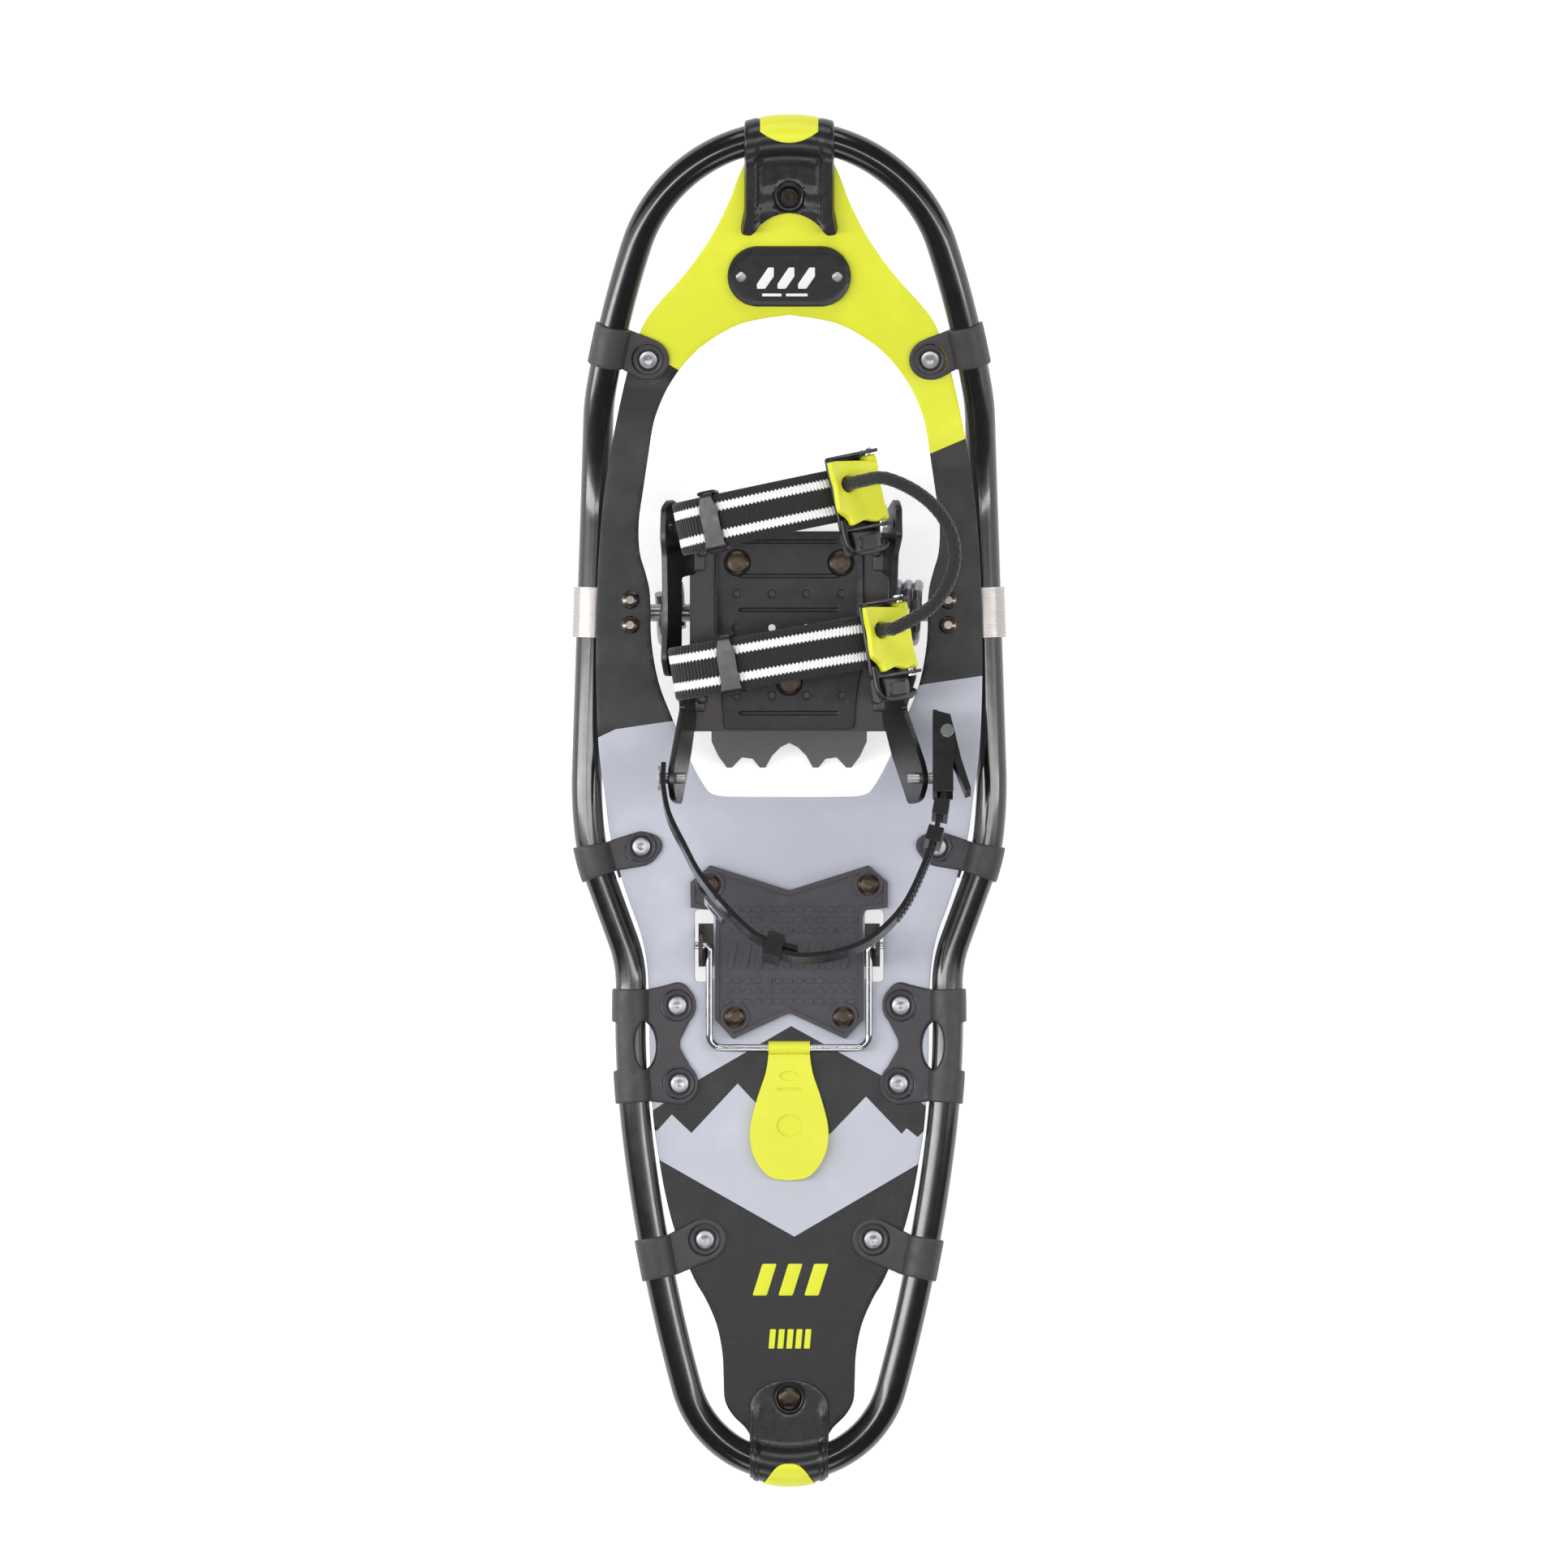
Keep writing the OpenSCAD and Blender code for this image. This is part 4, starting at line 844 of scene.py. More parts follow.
FLOOR_HALF, FLOOR_Z = 4, -0.0005
floor_mesh = bpy.data.meshes.new("floor")
floor_mesh.from_pydata([(x, y, FLOOR_Z) for x, y in rect(-FLOOR_HALF, -FLOOR_HALF, FLOOR_HALF, FLOOR_HALF)],
                       [], [[0, 1, 2, 3]])
floor = bpy.data.objects.new("floor", floor_mesh)
bpy.context.scene.collection.objects.link(floor)
paper = Finish("paper", (0.9, 0.9, 0.9, 1), 0.9)
paper.set("Emission Color", (1, 1, 1, 1))
paper.set("Emission Strength", 0.55)
floor_mesh.materials.append(paper.mat)


# --- Cord between the two release levers ---
FRONT_YC, FRONT_A = 136.5, 12.0
REAR_YC, REAR_A = 68.0, 9.6
FRONT_PLACE = move(0, FRONT_YC, 0) @ turn(FRONT_A, "Z")
REAR_PLACE = move(0, REAR_YC, 0) @ turn(REAR_A, "Z")
FRONT_CAM = FRONT_PLACE @ move(28.6, 0, 89.8) @ turn(47, "Y")
REAR_CAM = REAR_PLACE @ move(42.4, 0, 99.6) @ turn(52, "Y")


def spot(place, x, y, z):
    return tuple(place @ Vector((x, y, z)))


cord_line = smooth([spot(FRONT_CAM, -8, 4, 5.6), spot(FRONT_CAM, -8, 4, 11.5),
                    spot(FRONT_CAM, -8, 4, 16), (43, 149, 113.5), (55, 144.5, 114),
                    (65, 137.4, 112), (72, 128.6, 109), (75.6, 118.5, 107), (75.2, 107.5, 107.5),
                    (70.8, 97, 110), (63.5, 88.6, 114), spot(REAR_CAM, -8, 4, 16.5),
                    spot(REAR_CAM, -8, 4, 11.5), spot(REAR_CAM, -8, 4, 5.6)], 4)
cord_fine = along_line(smooth(cord_line, 3), 0.35)
STRANDS = 6
BRAID_PITCH = 7.4


def braid(s, a):
    """Radius of the braid: two families of strands that pass over and under each other."""
    u = a * STRANDS + s / BRAID_PITCH * 2
    v = a * STRANDS - s / BRAID_PITCH * 2
    left, right = abs(math.sin(math.pi * u)), abs(math.sin(math.pi * v))
    over = math.cos(math.pi * (u - v)) > 0
    hi, lo = (left, right) if over else (right, left)
    return CORD_D / 2 - 0.75 + 0.75 * max(math.sqrt(hi), 0.75 * math.sqrt(lo))


MIDDLE = len(cord_fine) // 2
HALVES = (("front", cord_fine[:MIDDLE + 1], "front_lever", (32, 147, 106), (74, 125, 108)),
          ("rear", cord_fine[MIDDLE:][::-1], "rear_lever", (47, 80, 113), (76, 112, 108)))
for word, line, lever_body, start, end in HALVES:
    cv, cf, cu = sweep(line, braid, n=60)
    cord_obj = make("pull_cord_" + word, cv, cf, M_BRAID, None, "pull_cord", "cord_braid", angle=80,
                    uvs=cu)
    metres(start)
    metres(end)
    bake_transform(cord_obj)
    half_len = sum(math.dist(a, b) for a, b in zip(line, line[1:]))
    metres(line[0])
    [metres(p) for p in (*line[::6], line[-1])]

# --- Frame tube ---
tube_pts = []
steps = [(PATH_LEN - 0.15) * i / 330 for i in range(331)]
for k, order in ((1, steps), (-1, steps[::-1])):
    for d in order:
        p = at_path(d, k).translation
        if not tube_pts or math.dist(p, tube_pts[-1]) > 0.5:
            tube_pts.append(tuple(p))
if math.dist(tube_pts[0], tube_pts[-1]) < 1.0:
    tube_pts.pop()


def ring_tube(points, r_mm, n=40):
    """Closed round tube whose rings face along the line and keep Z up."""
    m = len(points)
    verts = []
    for i in range(m):
        a, b = Vector(points[i - 1]), Vector(points[(i + 1) % m])
        t = (b - a).normalized()
        side = t.cross(Vector((0, 0, 1))).normalized()
        up = side.cross(t)
        for k in range(n):
            w = 2 * math.pi * k / n
            verts.append(tuple(Vector(points[i]) + side * r_mm * math.cos(w) + up * r_mm * math.sin(w)))
    return verts, quads(m, n, closed=True)


make("frame_tube_bent", *ring_tube(tube_pts, TUBE_R), M_TUBE, "frame", "frame_tube", "frame_black")

# --- Deck ---
EDGE = [(17, 297.6), (20.2, 295.4), (24, 287.4), (27.5, 278), (32, 268.6), (37.3, 259.2),
        (43.9, 249.8), (51.5, 240.4), (60.2, 231), (67, 222), (71, 212), (74, 202.8), (77.8, 187),
        (82.2, 165), (85.2, 146), (87.2, 127.5), (88.9, 100), (89.4, 60), (88.1, 25), (85.2, 2),
        (83, -15), (79.2, -30), (73.7, -47), (68.8, -60.6), (66, -74), (64.9, -92), (64.5, -120),
        (63, -146), (60.5, -164), (57.3, -182), (52.5, -200), (44.4, -220), (38.7, -230),
        (33.6, -242), (31, -255), (30.4, -267), (29.8, -277), (26, -284), (20.4, -289.6), (17, -295.2)]
HOLE = [(0, 225.5), (22, 221.6), (39, 212.2), (48.5, 203.2), (55.4, 193.5), (60, 183.9),
        (63, 174.5), (65, 162), (67.4, 146), (69.6, 130), (69.2, 116), (66.4, 106), (64.4, 96),
        (63.8, 75), (60.5, 56), (54.5, 40), (47, 22), (39.5, 8), (34, 3.4), (20, 2.6), (0, 2.5)]
right, gap = smooth(EDGE, 4), smooth(HOLE, 4)
deck_outline = right + mirrored(right)
deck_hole = gap[:-1] + mirrored(gap)[:-1]
slots = [rounded(rect(k * 39.4 - 4.3, -83, k * 39.4 + 4.3, -49.6), 2.2) for k in (-1, 1)]
# Colour borders across the deck: straight ones as (y, slope, x), the mountain range as points.
YELLOW_LEFT = (202.4, -0.578, -55.1)
YELLOW_RIGHT = (161.8, 0.428, 66)
GREY_TOP = (34, 0.1456, -80.3)
GREY_CORNER = (30.5, 0.47, -87.8)
PEAK = [(-75, -150.5), (-41.2, -127.9), (0.9, -103.5), (42.7, -126.4), (75, -148.5)]
RANGE = [(-75, -151), (-61.1, -151.9), (-54.4, -144.5), (-45.3, -153.1), (-23.9, -130.2),
         (-2.4, -153.1), (4.7, -161.4), (19.4, -153.1), (35.6, -136.2), (52.1, -153.5), (54.4, -150.9),
         (59.6, -155), (63, -151.2), (75, -151)]
VALLEY = [(-78, -155.4), (2.4, -201.1), (78, -156.8)]


def on_seam(seam, x):
    y0, slope, x0 = seam
    return y0 + slope * (x - x0)


def seam_edge(seam, x0, x1):
    return ((x0, on_seam(seam, x0)), (x1, on_seam(seam, x1)))


def line_y(chain, x):
    """Height of a chain of points at x, or far below where it doesn't reach."""
    for (x0, y0), (x1, y1) in zip(chain, chain[1:]):
        if x0 <= x <= x1:
            return y0 + (y1 - y0) * (x - x0) / (x1 - x0)
    return -999


def zone(x, y):
    """Colour of the deck at a point: 0 yellow, 1 black, 2 grey."""
    if y > 120:
        return 0 if y > on_seam(YELLOW_LEFT if x < 0 else YELLOW_RIGHT, x) else 1
    if y > on_seam(GREY_TOP if x > GREY_TOP[2] else GREY_CORNER, x):
        return 1
    if y > line_y(PEAK, x):
        return 2
    if y > line_y(RANGE, x):
        return 1
    return 2 if y > line_y(VALLEY, x) else 1


seams = [seam_edge(YELLOW_LEFT, -92, -40), seam_edge(YELLOW_RIGHT, 50, 92), ((-92, 28.5), (-80.3, 34)),
         seam_edge(GREY_TOP, -80.3, 92)]
for chain in (PEAK, RANGE, VALLEY):
    seams += zip(chain, chain[1:])


def deck_shape(x, y, h):
    return (x, y, deck_z(y) - HALF_T + h)


dv, df, dp = plate(deck_outline, [deck_hole[::-1], *slots], DECK_T, 0.45, 3.0, 1.3, shape=deck_shape,
                   lines=seams, pick=zone, wall_pick=3)
make("deck_sheet_cut", dv, df, [M_DECK_Y, M_DECK_K, M_DECK_G, M_DECK_CUT], "frame", "deck",
     "deck_sheet", picks=dp)

# --- Deck marks ---
def slanted_bar(x, y0, y1, wide, lean, corner):
    return rounded([(x, y0), (x + wide, y0), (x + lean + wide, y1), (x + lean, y1)], corner)


MARK_PLACE = move(0, 0, AXIS_H + HALF_T - 0.04)
marks = Build()
for i in range(3):
    marks.plate(MARK_PLACE, slanted_bar(-17 + 12 * i, -228.4, -213.7, 6.6, 4.6, 0.8), (), 0.14, 0.05,
                3.0, 2.0, under=False)
for i in range(5):
    marks.plate(MARK_PLACE, slanted_bar(-9.6 + 4.1 * i, -253, -244, 2.7, 0.8, 0.4), (), 0.14, 0.05,
                2.0, 1.5, under=False)
marks.make("deck_marks", M_MARK, "frame")

# --- Clips round the frame tube ---
VALLEY_Y = 8.35  # from the tube's axis to where a clip leaves it for the deck
WRAP = 26.5      # length of clip that goes round the tube
SIDES = (("left", -1), ("right", 1))
DOWN = Matrix.Scale(-1, 4, (0, 0, 1))
UNDER_DECK = move(0, 0, -HALF_T) @ DOWN
frames = {}


def near_path(d, k):
    key = (round(d, 1), k)
    if key not in frames:
        frames[key] = at_path(key[0], k)
    return frames[key]


def section(u, h, base=0.0):
    """Point (out, up) of a clip skin: u below 0 lies flat on the deck, above 0 round the tube."""
    z = HALF_T + h + base
    ring = TUBE_R + 0.05 + (h + base) * 0.85
    start = math.pi - math.asin(min(1.0, z / ring))
    if u < 0:
        return ring * math.cos(start) + u, z
    a = start - u / (TUBE_R + 1.0)
    return ring * math.cos(a), ring * math.sin(a)


def cup(build, place, x, y, r_in=5.1, r_out=7.1, h=2.3):
    """Raised ring round a rivet, standing on the deck."""
    z = HALF_T
    v, f = lathe([(RIVET_R, z - 0.1), (RIVET_R, z + 0.45), (r_in - 0.2, z + 0.45), (r_in, z + 0.8),
                  (r_in, z + h - 0.4), (r_in + 0.45, z + h), (r_out - 0.5, z + h), (r_out, z + h - 0.5),
                  (r_out, z - 0.1), (RIVET_R, z - 0.1)])
    build.add(v, f, place @ move(x, y, 0))


def clip(name, spots, outline, holes, k):
    """One clip: a moulded skin over the tube with an ear on the deck, and plates under it. Each
    spot is a rivet: distance along the tube, then how far on and how far in it is."""
    b = Build()
    start = spots[0][0]
    rivets = [circle(s - start + on, -(in_ - VALLEY_Y), 7.3, n=40) for s, on, in_ in spots]
    v, f, _ = plate(outline, [*holes, *rivets], 1.7, 0.7, 1.7, 0.9)
    skin = [near_path(start + x, k) @ Vector((0, *section(u, h))) for x, u, h in v]
    b.add(skin, [g[::-1] for g in f] if k < 0 else f)
    for s, on, in_ in spots:
        cup(b, at_path(s, k), on, -in_)
    for s, on, in_ in spots:
        ear = hull(circle(on, -in_, 8.6) + [(-8, -VALLEY_Y), (8, -VALLEY_Y)])
        b.plate(at_path(s, k) @ UNDER_DECK, ear, [bore(on, -in_, RIVET_R)], 1.6, 0.5, 3.0, 1.5)
    b.make(name + "_moulded", M_CLIP, "frame", name, "clip_plastic", angle=42)


CLIP_SPOTS = [(142.5, 2.5, 18.8), (386.5, -3, 22.6), (453, 0, 21.8), (491, 0, 21.8), (571, -4, 23.8)]
for word, i, back_run, fore_run in (("front", 0, 9.6, 9.6), ("mid", 1, 10.6, 4.7), ("rear", 4, 9.6, 9.6)):
    q = CLIP_SPOTS[i]
    ear = hull(circle(q[1], -(q[2] - VALLEY_Y), 10.2, n=56) + [(-back_run, 0), (fore_run, 0)])
    top = ear.index((fore_run, 0)) + 1
    band = rounded([(fore_run, 1), (fore_run, WRAP), (-back_run, WRAP), (-back_run, 1)], 2.4)
    for side_name, k in SIDES:
        clip("%s_clip_%s" % (word, side_name), [q], ear[top:] + ear[:top] + band[CORNER:3 * CORNER],
             [], k)

W0, W1 = -(21.8 - VALLEY_Y), 38.0
lobes = (arc(0, W0, 10.3, 184, 316, 6, ry=9.1) + [(17, -15.1), (19, -14.9), (21, -15.1)]
         + arc(W1, W0, 10.3, 224, 356, 6, ry=9.1))
waist = rounded([*lobes, (W1 + 7.3, 0.5), (W1 + 7.3, WRAP), (W1 - 7.3, WRAP), (W1 - 8.3, 16.6),
                 (8.3, 16.6), (7.3, WRAP), (-7.3, WRAP), (-7.3, 0.5)], 1.8, 4)
for side_name, k in SIDES:
    clip("waist_clip_" + side_name, CLIP_SPOTS[2:4], waist, [bore(19, 2.4, 11.6, 6.9, n=48)], k)

heads = Build()
rivet = [(0, -HALF_T - 2.7), (3, -HALF_T - 2.6), (4.9, -HALF_T - 1.7), (2.4, -HALF_T - 1.7),
         (2.4, HALF_T + 0.6), (4.25, HALF_T + 0.7), (4.35, HALF_T + 1.2), (4.0, HALF_T + 1.65),
         (3.0, HALF_T + 1.9), (1.4, HALF_T + 1.95), (1.1, HALF_T + 1.8), (0, HALF_T + 1.75)]
for s, on, in_ in CLIP_SPOTS:
    for k in (-1, 1):
        heads.add(*lathe(rivet), at_path(s, k) @ move(on, -in_, 0))
heads.make("clip_rivets_headed", M_RIVET, "frame", "clip_rivets", "rivet_metal", angle=35)


# --- Toe and tail clips ---
def end_shape(bow, base=0.0):
    """Wraps a skin over the bow of the tube at the toe or the tail."""
    def shape(x, u, h):
        y, z = section(u, h, base)
        return (x, y + math.sqrt(bow * bow - x * x) - bow, z)
    return shape


def toe_rise(x, u):
    rib = ease((abs(x) - 14.0) / 1.3)
    if u > 4:
        return 0.55 * rib
    deep = -0.7 * (1 - ease((abs(x) - 12.6) / 0.9)) * ease((-2 - u) / 1.2) * (1 - ease((-u - 15) / 1.2))
    lip = 0.8 * ease((-u - 23) / 1.5) * (1 - rib)
    return 2.6 * rib * ease((4 - u) / 5) + 0.55 * rib * ease(u / 4) + deep + lip


SCREW_Y = -28
toe_arch = [(x, -49.6 + math.sqrt(22 * 22 - x * x)) for x in range(-13, 14, 2)]
toe_horn = [(-20.7, 10), (-20.7, -24), (-22.6, -33.2), (-17.6, -35.2), (-15, -33.5)]
toe_out = (rounded(toe_horn, 1.6)[CORNER:4 * CORNER] + toe_arch
           + rounded(mirrored(toe_horn), 1.6)[CORNER:4 * CORNER]
           + [(20.7, WRAP + 1.5), (-20.7, WRAP + 1.5)])
toe_seams = [((k * a, 25), (k * a, -29)) for k in (-1, 1) for a in (12.6, 13.5, 14.0, 15.3)]
b = Build()
b.plate(TOE_FRAME, toe_out, [bore(0, SCREW_Y + VALLEY_Y, 7.0)], 2.4, 0.8, 1.8, 1.0, rise=toe_rise,
        shape=end_shape(TOE_R), lines=toe_seams)
cup(b, TOE_FRAME, 0, SCREW_Y, 5.4, 7.0, 3.1)
b.plate(TOE_FRAME @ UNDER_DECK,
        hull([(-20.2, -8.2), (20.2, -8.2), (20.2, -33), (21.6, -41), (-21.6, -41), (-20.2, -33)]),
        [bore(0, SCREW_Y, RIVET_R)], 2.2, 0.6, 4.0, 2.0)
b.make("toe_clip_moulded", M_TOE, "frame", "toe_clip", "clip_plastic", angle=42)


def tab(name, half, bow, near, far, place, old, power=2.0):
    """Coloured tab over the bow; its lower edge curves from near at the middle to far."""
    low = [(x * half / 10, near + (far - near) * abs(x / 10) ** power) for x in range(-10, 11)]
    b = Build()
    b.plate(place, [*low, (half, WRAP + 1.0), (-half, WRAP + 1.0)], (), 0.7, 0.3, 1.6, 1.0,
            shape=end_shape(bow, 2.45))
    b.make(name, M_YELLOW, "frame", old, "yellow_plastic", angle=42)


tab("toe_tab_moulded", 13.4, TOE_R, 8.0, 13.7, TOE_FRAME, "toe_clip_tab")


def tail_rise(x, u):
    rib = ease((abs(x) - 13.9) / 0.8) * (1 - ease((abs(x) - 16.4) / 0.8))
    return 0.8 * rib * (1 if u > -12 else ease((u + 20) / 8))


TAIL_RIVET_Y = TAIL_Y + 276  # measured from the bow
tail_low = arc(0, -(22 - VALLEY_Y), 18.3, 180, 360, 5)
b = Build()
b.plate(TAIL_FRAME, [*tail_low, (18.3, WRAP + 1), (-18.3, WRAP + 1)],
        [bore(0, TAIL_RIVET_Y + VALLEY_Y, 7.0)], 2.1, 0.7, 1.8, 1.0, rise=tail_rise,
        shape=end_shape(TAIL_R),
        lines=[((k * a, 25), (k * a, -14)) for k in (-1, 1) for a in (13.9, 14.7, 16.4, 17.2)])
cup(b, TAIL_FRAME, 0, TAIL_RIVET_Y, 5.5, 7.0, 2.8)
b.plate(TAIL_FRAME @ UNDER_DECK, arc(0, -22, 18, 180, 360, 6) + [(18, -8.2), (-18, -8.2)],
        [bore(0, TAIL_RIVET_Y, RIVET_R)], 2.2, 0.6, 4.0, 2.0)
b.make("tail_clip_moulded", M_TOE, "frame", "tail_clip", "clip_plastic", angle=42)
tab("tail_tab_moulded", 12.15, TAIL_R, 8.2, 21.0, TAIL_FRAME, "tail_clip_tab", 2.6)

# --- Badge ---
PILL_X, PILL_R = 14.3, 14.2
pill = arc(PILL_X, 0, PILL_R, -90, 90, 6) + arc(-PILL_X, 0, PILL_R, 90, 270, 6)
BADGE = TOE_FRAME @ move(0, -66, HALF_T)
PRINT = BADGE @ move(0, 0, 1.72)


def badge_rise(x, y):
    d = math.hypot(max(0, abs(x) - PILL_X), y)
    return 0.55 * ease((d - 12.7) / 0.35)


b = Build()
b.plate(BADGE, pill, [bore(k * 22.2, 0, 1.6, n=16) for k in (-1, 1)], 1.75, 0.35, 1.6, 1.0,
        rise=badge_rise)
prints = [rounded([(x - 5.4, -5.6), (x - 1.6, -5.6), (x + 2.4, 0.2), (x + 2.4, 4.4), (x - 0.2, 4.4),
                   (x - 5.4, -3.4)], 0.5) for x in (-9.5, 0, 9.5)]
prints += [rounded(rect(x0, -9.2, x1, -7.9), 0.3) for x0, x1 in ((-12.5, -3.5), (-1.5, 8.5))]
for shape in prints:
    b.plate(PRINT, shape, (), 0.3, 0.1, 2.0, 1.2, under=False, pick=1)
b.make("badge_plate_printed", [M_BADGE, M_PRINT], "frame", "badge_plate", angle=40)

# --- Webbing straps ---
front_arch = smooth([(-43.4, 60), (-46.6, 68.5), (-50, 77.5), (-51.6, 88), (-45.6, 98), (-32, 104),
                     (-14, 107), (4, 105.5), (18, 99.5), (29, 89.2), (37, 78.5), (40, 73)], 4)
front_link = smooth([(34.8, 77), (36.8, 71), (38, 64), (37.8, 57)], 4)
rear_arch = smooth([(-41.2, 58), (-42.6, 66), (-45.4, 76.5), (-50.6, 87), (-53.8, 97), (-48, 107.5),
                    (-30, 115.5), (-4, 118.5), (20, 115), (37, 105.5), (46.4, 93.5), (49.4, 82),
                    (44.6, 73), (41.4, 64), (40.4, 57)], 4)


def strap(name, place, arch, first, last, link=None):
    """Strap with its tongue folded back under the arch, and the short link to the buckle."""
    layers = [(arch, WEB_W, 1.5, 0.5, 26, place),
              (shifted(arch[first:last], -1.7), 22.4, 1.4, 0.4, 22, place)]
    if link:
        layers.append((link, 20, 1.4, 0.4, 22, place @ move(0, -16, 0)))
    b = Build()
    for line, wide, thick, rib, across, where in layers:
        v, f, u = ribbon(line[::-1], wide, thick, rib, across)
        b.add(v, f, where, uvs=u)
    b.make(name + "_woven", M_WEB, "binding", name, "webbing", angle=60)


strap("front_strap", FRONT_PLACE, front_arch, 12, 29, front_link)
strap("rear_strap", REAR_PLACE, rear_arch, 14, 31)

# --- Release levers ---
LEVER_LOW = [(-19, 6.6), (-17.5, 5.6), (-12, 4.4), (-2, 6.2), (9, 8.2), (13, 9.5)]


def lever_shape(x, y, h):
    low = line_y(LEVER_LOW, x)
    return (x, y, low + h + 0.9 * ease((x + 6) / 12) * (h / 3) + 0.0035 * (y - 2) ** 2)


LEVER_OUT = [(-11, -15.3), (-11.6, -11.4), (-18.3, -7.5), (-16.4, 3), (-18.6, 15.4), (-12, 15.4),
             (9.6, 12.5), (9, -13.2), (3, -15.5), (-3, -13.4)]
PIVOT_ROD = [(0, -15.5), (3.0, -15.5), (3.85, -14.6), (3.85, -9), (3.3, -8.2), (3.3, 8.2), (3.85, 9),
             (3.85, 14.6), (3.0, 15.5), (0, 15.5)]


def lever(name, place, body, old):
    b = Build()
    b.plate(place, rounded(LEVER_OUT, 1.6), [bore(-8, 4, 3.6, n=32)], 2.8, 1.1, 1.3, 0.8,
            shape=lever_shape)
    v, f = lathe(PIVOT_ROD)
    b.add(v, [g[::-1] for g in f], place @ move(9, 0, 7.2) @ turn(90, "X"))
    b.make(name, M_YELLOW, body, old, "yellow_plastic", angle=50)


lever("front_release_moulded", FRONT_CAM, "front_lever", "front_release")
lever("rear_release_moulded", REAR_CAM, "rear_lever", "rear_release")

# --- Strap keepers: bent bands with a raised, pointed tip ---
KEEPER_SECTION = ((-1, -0.45), (-0.86, -0.85), (-0.5, -1.0), (0, -1.05), (0.5, -1.0), (0.86, -0.85),
                  (1, -0.45), (1, 0.6), (0, 0.75), (-1, 0.6))


def keeper(build, place, lo, hi):
    """Band round a strap, between the heights lo and hi."""
    w = WEB_W + 0.6
    loop = [(-w / 2 - 0.9, lo - 0.9), (w / 2 + 0.9, lo - 0.9), (w / 2 + 1.3, hi + 0.2),
            (w / 2 + 0.2, hi + 1.0), (w / 4, hi + 1.1), (0, hi + 1.2), (-w / 4, hi + 1.1),
            (-w / 2 - 0.2, hi + 1.0), (-w / 2 - 1.3, hi + 0.2), (-w / 2 - 0.9, lo - 0.9)]
    line = along_line(loop, 0.8)
    rows = []
    for i, (y, z) in enumerate(line):
        a, c = line[max(i - 1, 0)], line[min(i + 1, len(line) - 1)]
        t = Vector((c[0] - a[0], c[1] - a[1])).normalized()
        top = 1.0 if z > hi else 0.0
        half = 4.4 - 1.5 * ease((y - 5) / 7) * top + 0.7 * ease((-y - 8) / 4) * top
        rows += [(half * q, y - t.y * off, z - t.x * off) for q, off in KEEPER_SECTION]
    build.add(rows, quads(len(line), len(KEEPER_SECTION)), place)


b = Build()
keeper(b, FRONT_PLACE @ move(-36, 0, 102.7) @ turn(-20, "Y"), -2.9, 1.2)
keeper(b, REAR_PLACE @ move(-28, 0, 116) @ turn(-17, "Y"), -3, 1.1)
b.make("strap_keepers_bent", M_BLACK, "binding", "strap_keepers", angle=40)

# --- Cam buckles ---
ON_EDGE = Matrix(((0, 0, 1, 0), (1, 0, 0, 0), (0, 1, 0, 0), (0, 0, 0, 1)))  # plan x, y to y, z
BUCKLE_LIFT = 1.3
BASE_OUT = rounded(rect(-14, -17.8, 14, 17.8), 2.2)
CHEEK = rounded([(-12, 0), (14, 0), (14, 7), (12, 10.6), (7, 10.6), (-6, 4)], 1.4)
BLOCK = [(x - 29, z) for x, z in rounded([(0, 1), (1.5, -1.2), (11.4, -1.2), (11.4, 6.4), (8, 8),
                                          (2, 7)], 1.8)]
INSET = rounded(rect(-9, -26.6, 3, -20.4), 1.4)
BAIL = smooth([(-13.4, -12, 4.2), (-14, -20, 4.6), (-13.4, -25.6, 5.2), (-9, -27.6, 5.6), (0, -28, 5.6),
               (9, -27.4, 5.4), (12, -25.4, 5.2)], 5)

for word, place in (("front", FRONT_CAM), ("rear", REAR_CAM)):
    b = Build()
    b.plate(place @ move(0, 0, BUCKLE_LIFT), BASE_OUT, [], 1.5, 0.4, 3.0, 1.2)
    for k in (-1, 1):
        b.plate(place @ move(0, k * 17 + 0.8, BUCKLE_LIFT) @ turn(90, "X"), CHEEK,
                [bore(9, 5.9, 1.7, n=20)], 1.6, 0.5, 2.5, 1.0)
    b.plate(place @ move(-12, 0, 0.6) @ ON_EDGE, BLOCK, [], 18, 1.4, 2.6, 0.9)
    b.plate(place @ move(0, 0, 7.6), INSET, [], 1.0, 0.6, 2.0, 0.9)
    v, f, _ = sweep(BAIL, 1.5, n=14)
    b.add(v, f, place)
    b.make(word + "_buckle_moulded", M_BLACK, "binding", word + "_buckle", angle=40)

# --- Side plates: walls and arms with ridges ---
SIDE_X = 42.8
SIDE_T = 3.0
FOOT_X = 41.8
ARM = rounded([(40, 0.2), (58, 0.2), (66, 10), (66, 34), (58, 36), (44, 24), (19.3, 46), (14, 49.4),
               (8, 49.6), (1.6, 45), (0, 39), (-0.7, 32), (22, 12)], 2.4)


def leaning(k, a):
    """Place of a side plate that leans outwards by a degrees, its ridge on the outside."""
    place = move(k * SIDE_X, 0, BASE_TOP) @ turn(k * a, "Y") @ move(0 if k > 0 else -SIDE_T, 0, 0) @ ON_EDGE
    return place @ move(0, 0, SIDE_T) @ DOWN if k < 0 else place


def ridge(line, half, high):
    """Rise of a plate along a line, half wide to each side."""
    def rise(x, y):
        off = float(reach(np.array([[x, y]]), [line])[0])
        return high * (1 - ease((off - half) / 0.8))
    return rise


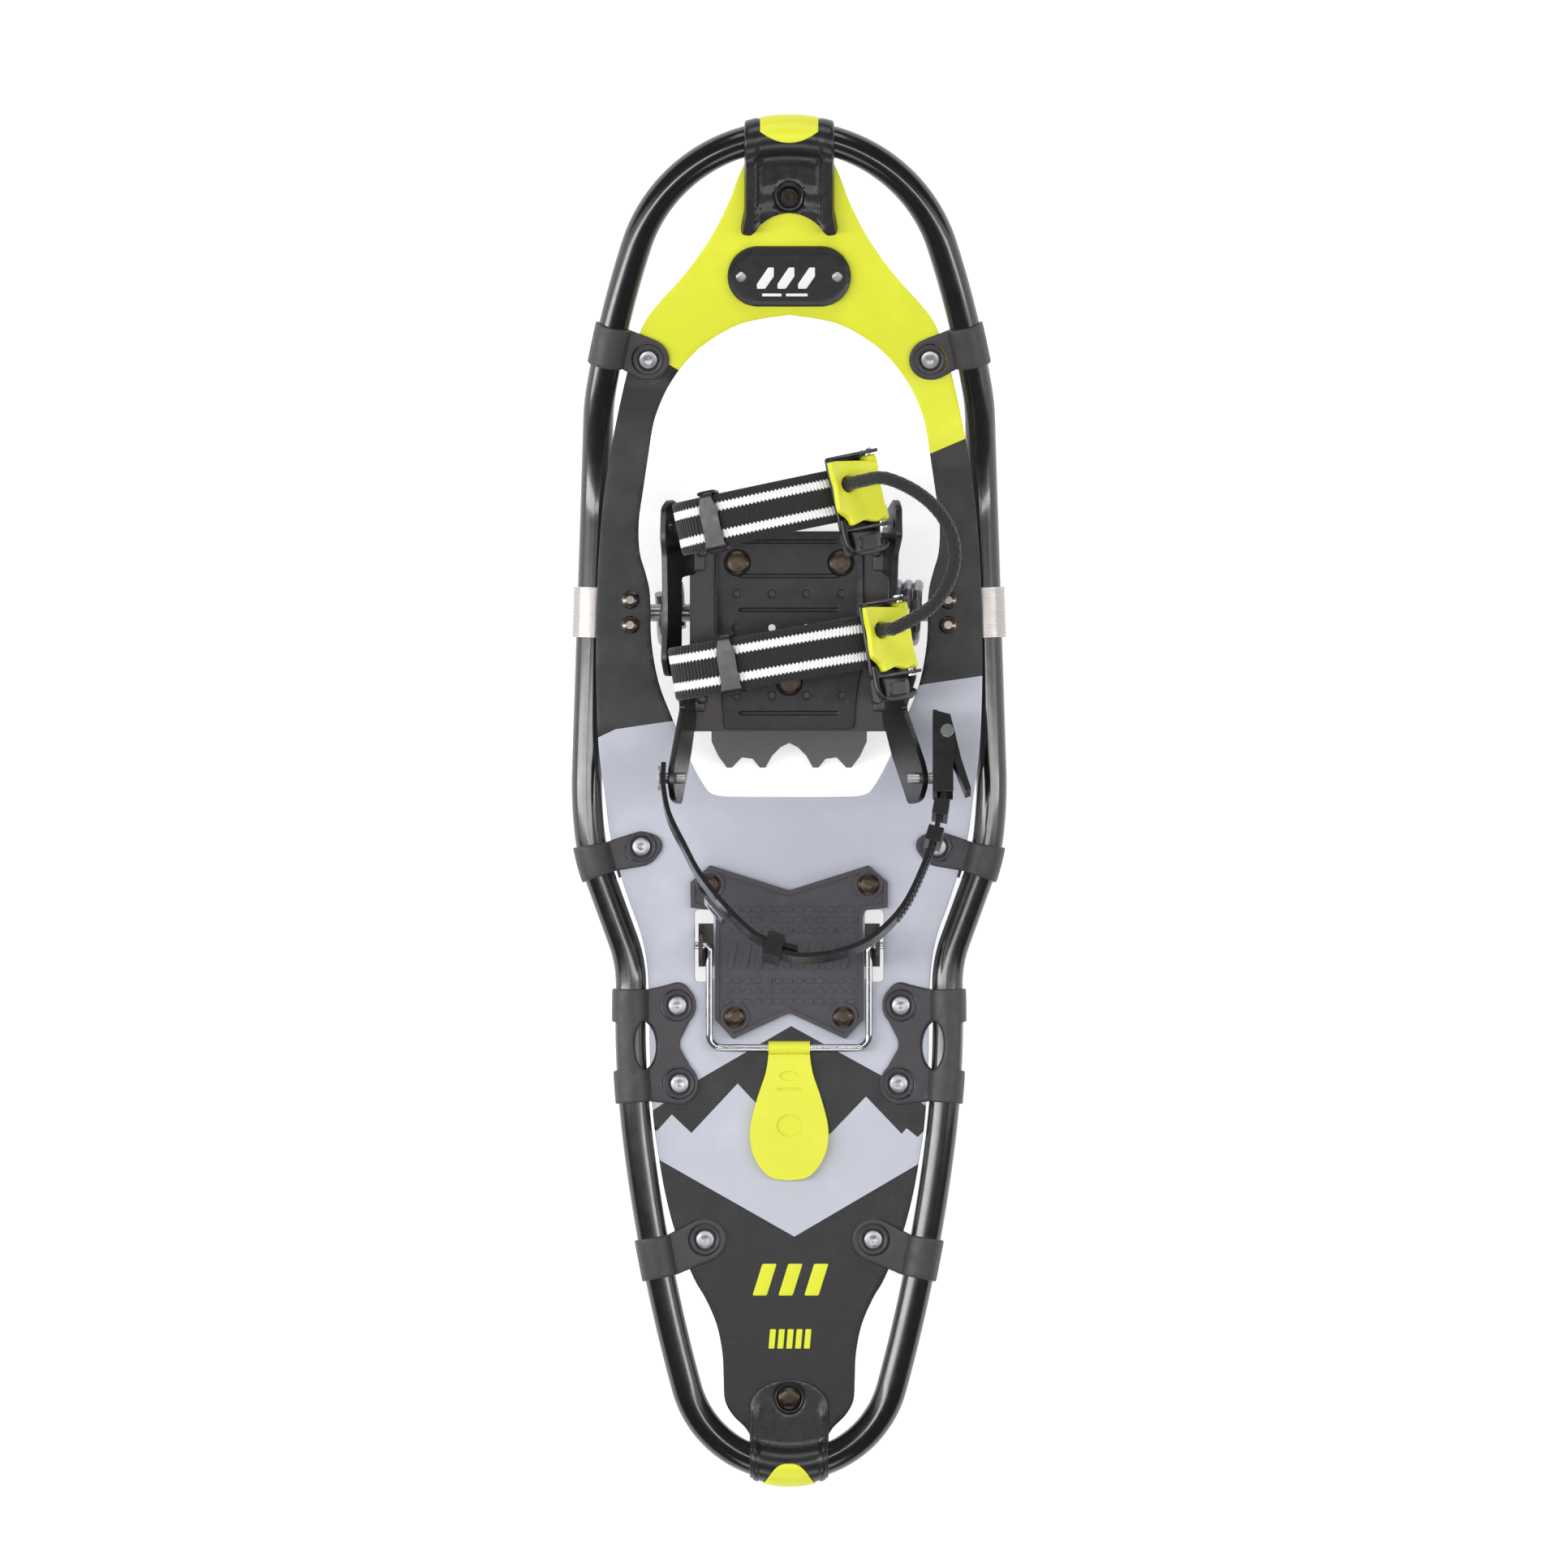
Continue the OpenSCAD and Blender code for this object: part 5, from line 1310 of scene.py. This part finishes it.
for word, k, wall_lean, arm_lean, back, fore_top, mid_top in (("left", -1, 22, 12, 37, 36, 35),
                                                              ("right", 1, 10, 22, 24, 28, 24)):
    b = Build()
    wall = rounded([(62, 8), (70, 18), (104, 18), (106, 0.2), (124, 0.2), (134, 8), (140, 30), (136, 37),
                    (122, 38), (114, fore_top), (90, mid_top), (82, back - 2), (66, back),
                    (58, back - 4)], 2.4)
    b.plate(leaning(k, wall_lean), wall, [bore(128, 31.5, 2.2, n=20)], SIDE_T, 0.9, 2.4, 1.2,
            rise=ridge([(66, back - 9), (92, 19.5), (124, 14), (130, 26)], 1.2, 0.5))
    b.plate(leaning(k, arm_lean), ARM, [bore(11.3, 40, 2.75, n=28)], SIDE_T, 0.9, 2.2, 1.2,
            rise=ridge([(52, 8), (40, 14), (20, 32)], 1.3, 0.9))
    for y0, y1 in ((42, 56), (107, 123)):
        b.plate(move(0, 0, BASE_TOP), rounded(rect(k * FOOT_X - 3, y0, k * FOOT_X + 3, y1), 1.4), [], 2.4,
                0.5, 3.0, 1.5)
    b.make("side_plate_%s_moulded" % word, M_BLACK, "binding", "side_plate_" + word, angle=42)

# --- Footbed ---
GROOVES = (120.8, 104.9, 89.2, 41.4)
FOOT_SPOTS = ((-24, 111), (24, 111), (0, 55.7))
foot_out = rounded([(-30.2, 33.6), (30.2, 33.6), (31.5, 52), (34.6, 66), (34.6, 116), (28, 125.6),
                    (-28, 125.6), (-34.6, 116), (-34.6, 66), (-31.5, 52)], 3.0)


def foot_rise(x, y):
    h = 0.0
    for g in GROOVES:
        h -= 1.1 * (1 - ease((abs(y - g) - 0.6) / 0.4)) * (1 - ease((abs(x) - 22.6) / 0.6))
    for cx, cy in FOOT_SPOTS:
        h -= 1.4 * (1 - ease((math.hypot(x - cx, y - cy) - 5.9) / 0.4))
    if 68 < y < 114:
        h += 1.5 * ease((abs(x) - 32.0) / 0.8)
    return h


foot_lines = [((-23.4, g + d), (23.4, g + d)) for g in GROOVES for d in (-1.05, -0.6, 0.6, 1.05)]
foot_holes = [bore(x, y, 1.7, n=20) for x in (-24.3, -8, 8, 24.3) for y in (96.6, 80.9, 49.6)]
foot_holes += [bore(x, y, RIVET_R, n=24) for x, y in FOOT_SPOTS]
b = Build()
b.plate(move(0, 0, BASE_TOP), foot_out, foot_holes, 3.0, 0.5, 1.6, 1.0, rise=foot_rise, lines=foot_lines,
        dots=[(x, y, (5.7, 6.3, 4.4)) for x, y in FOOT_SPOTS])
b.make("footbed_moulded", M_GRIP, "binding", "footbed", "foot_plastic", angle=40)


# --- CAD parts that keep their shape ---
dress(M_STEEL, "frame_splice", "pivot_axle", "pivot_springs")
dress(M_BAND, "pivot_band_left", "pivot_band_right")
dress(M_DOME, "deck_dome_rivets")
dress(M_DARKRIVET, "toe_clip_screw", "tail_rivet", "heel_rivets", "footbed_rivets")
dress(M_RIVET, "badge_rivets", "heel_strap_rivets")
dress(M_YELLOW, "heel_lift_tab")
dress(M_HEEL, "heel_plate")
dress(M_CRAMPON, "heel_crampon", "toe_crampon")
dress(M_CHROME, "heel_lift_bail", "heel_hook")
dress(M_PIN, "buckle_pins", "ratchet_screw")
dress(M_BLACK, "side_screws", "heel_keepers", "ratchet_body", "ratchet_lever")
dress(M_RUBBER, "heel_strap", "heel_strap_tail")
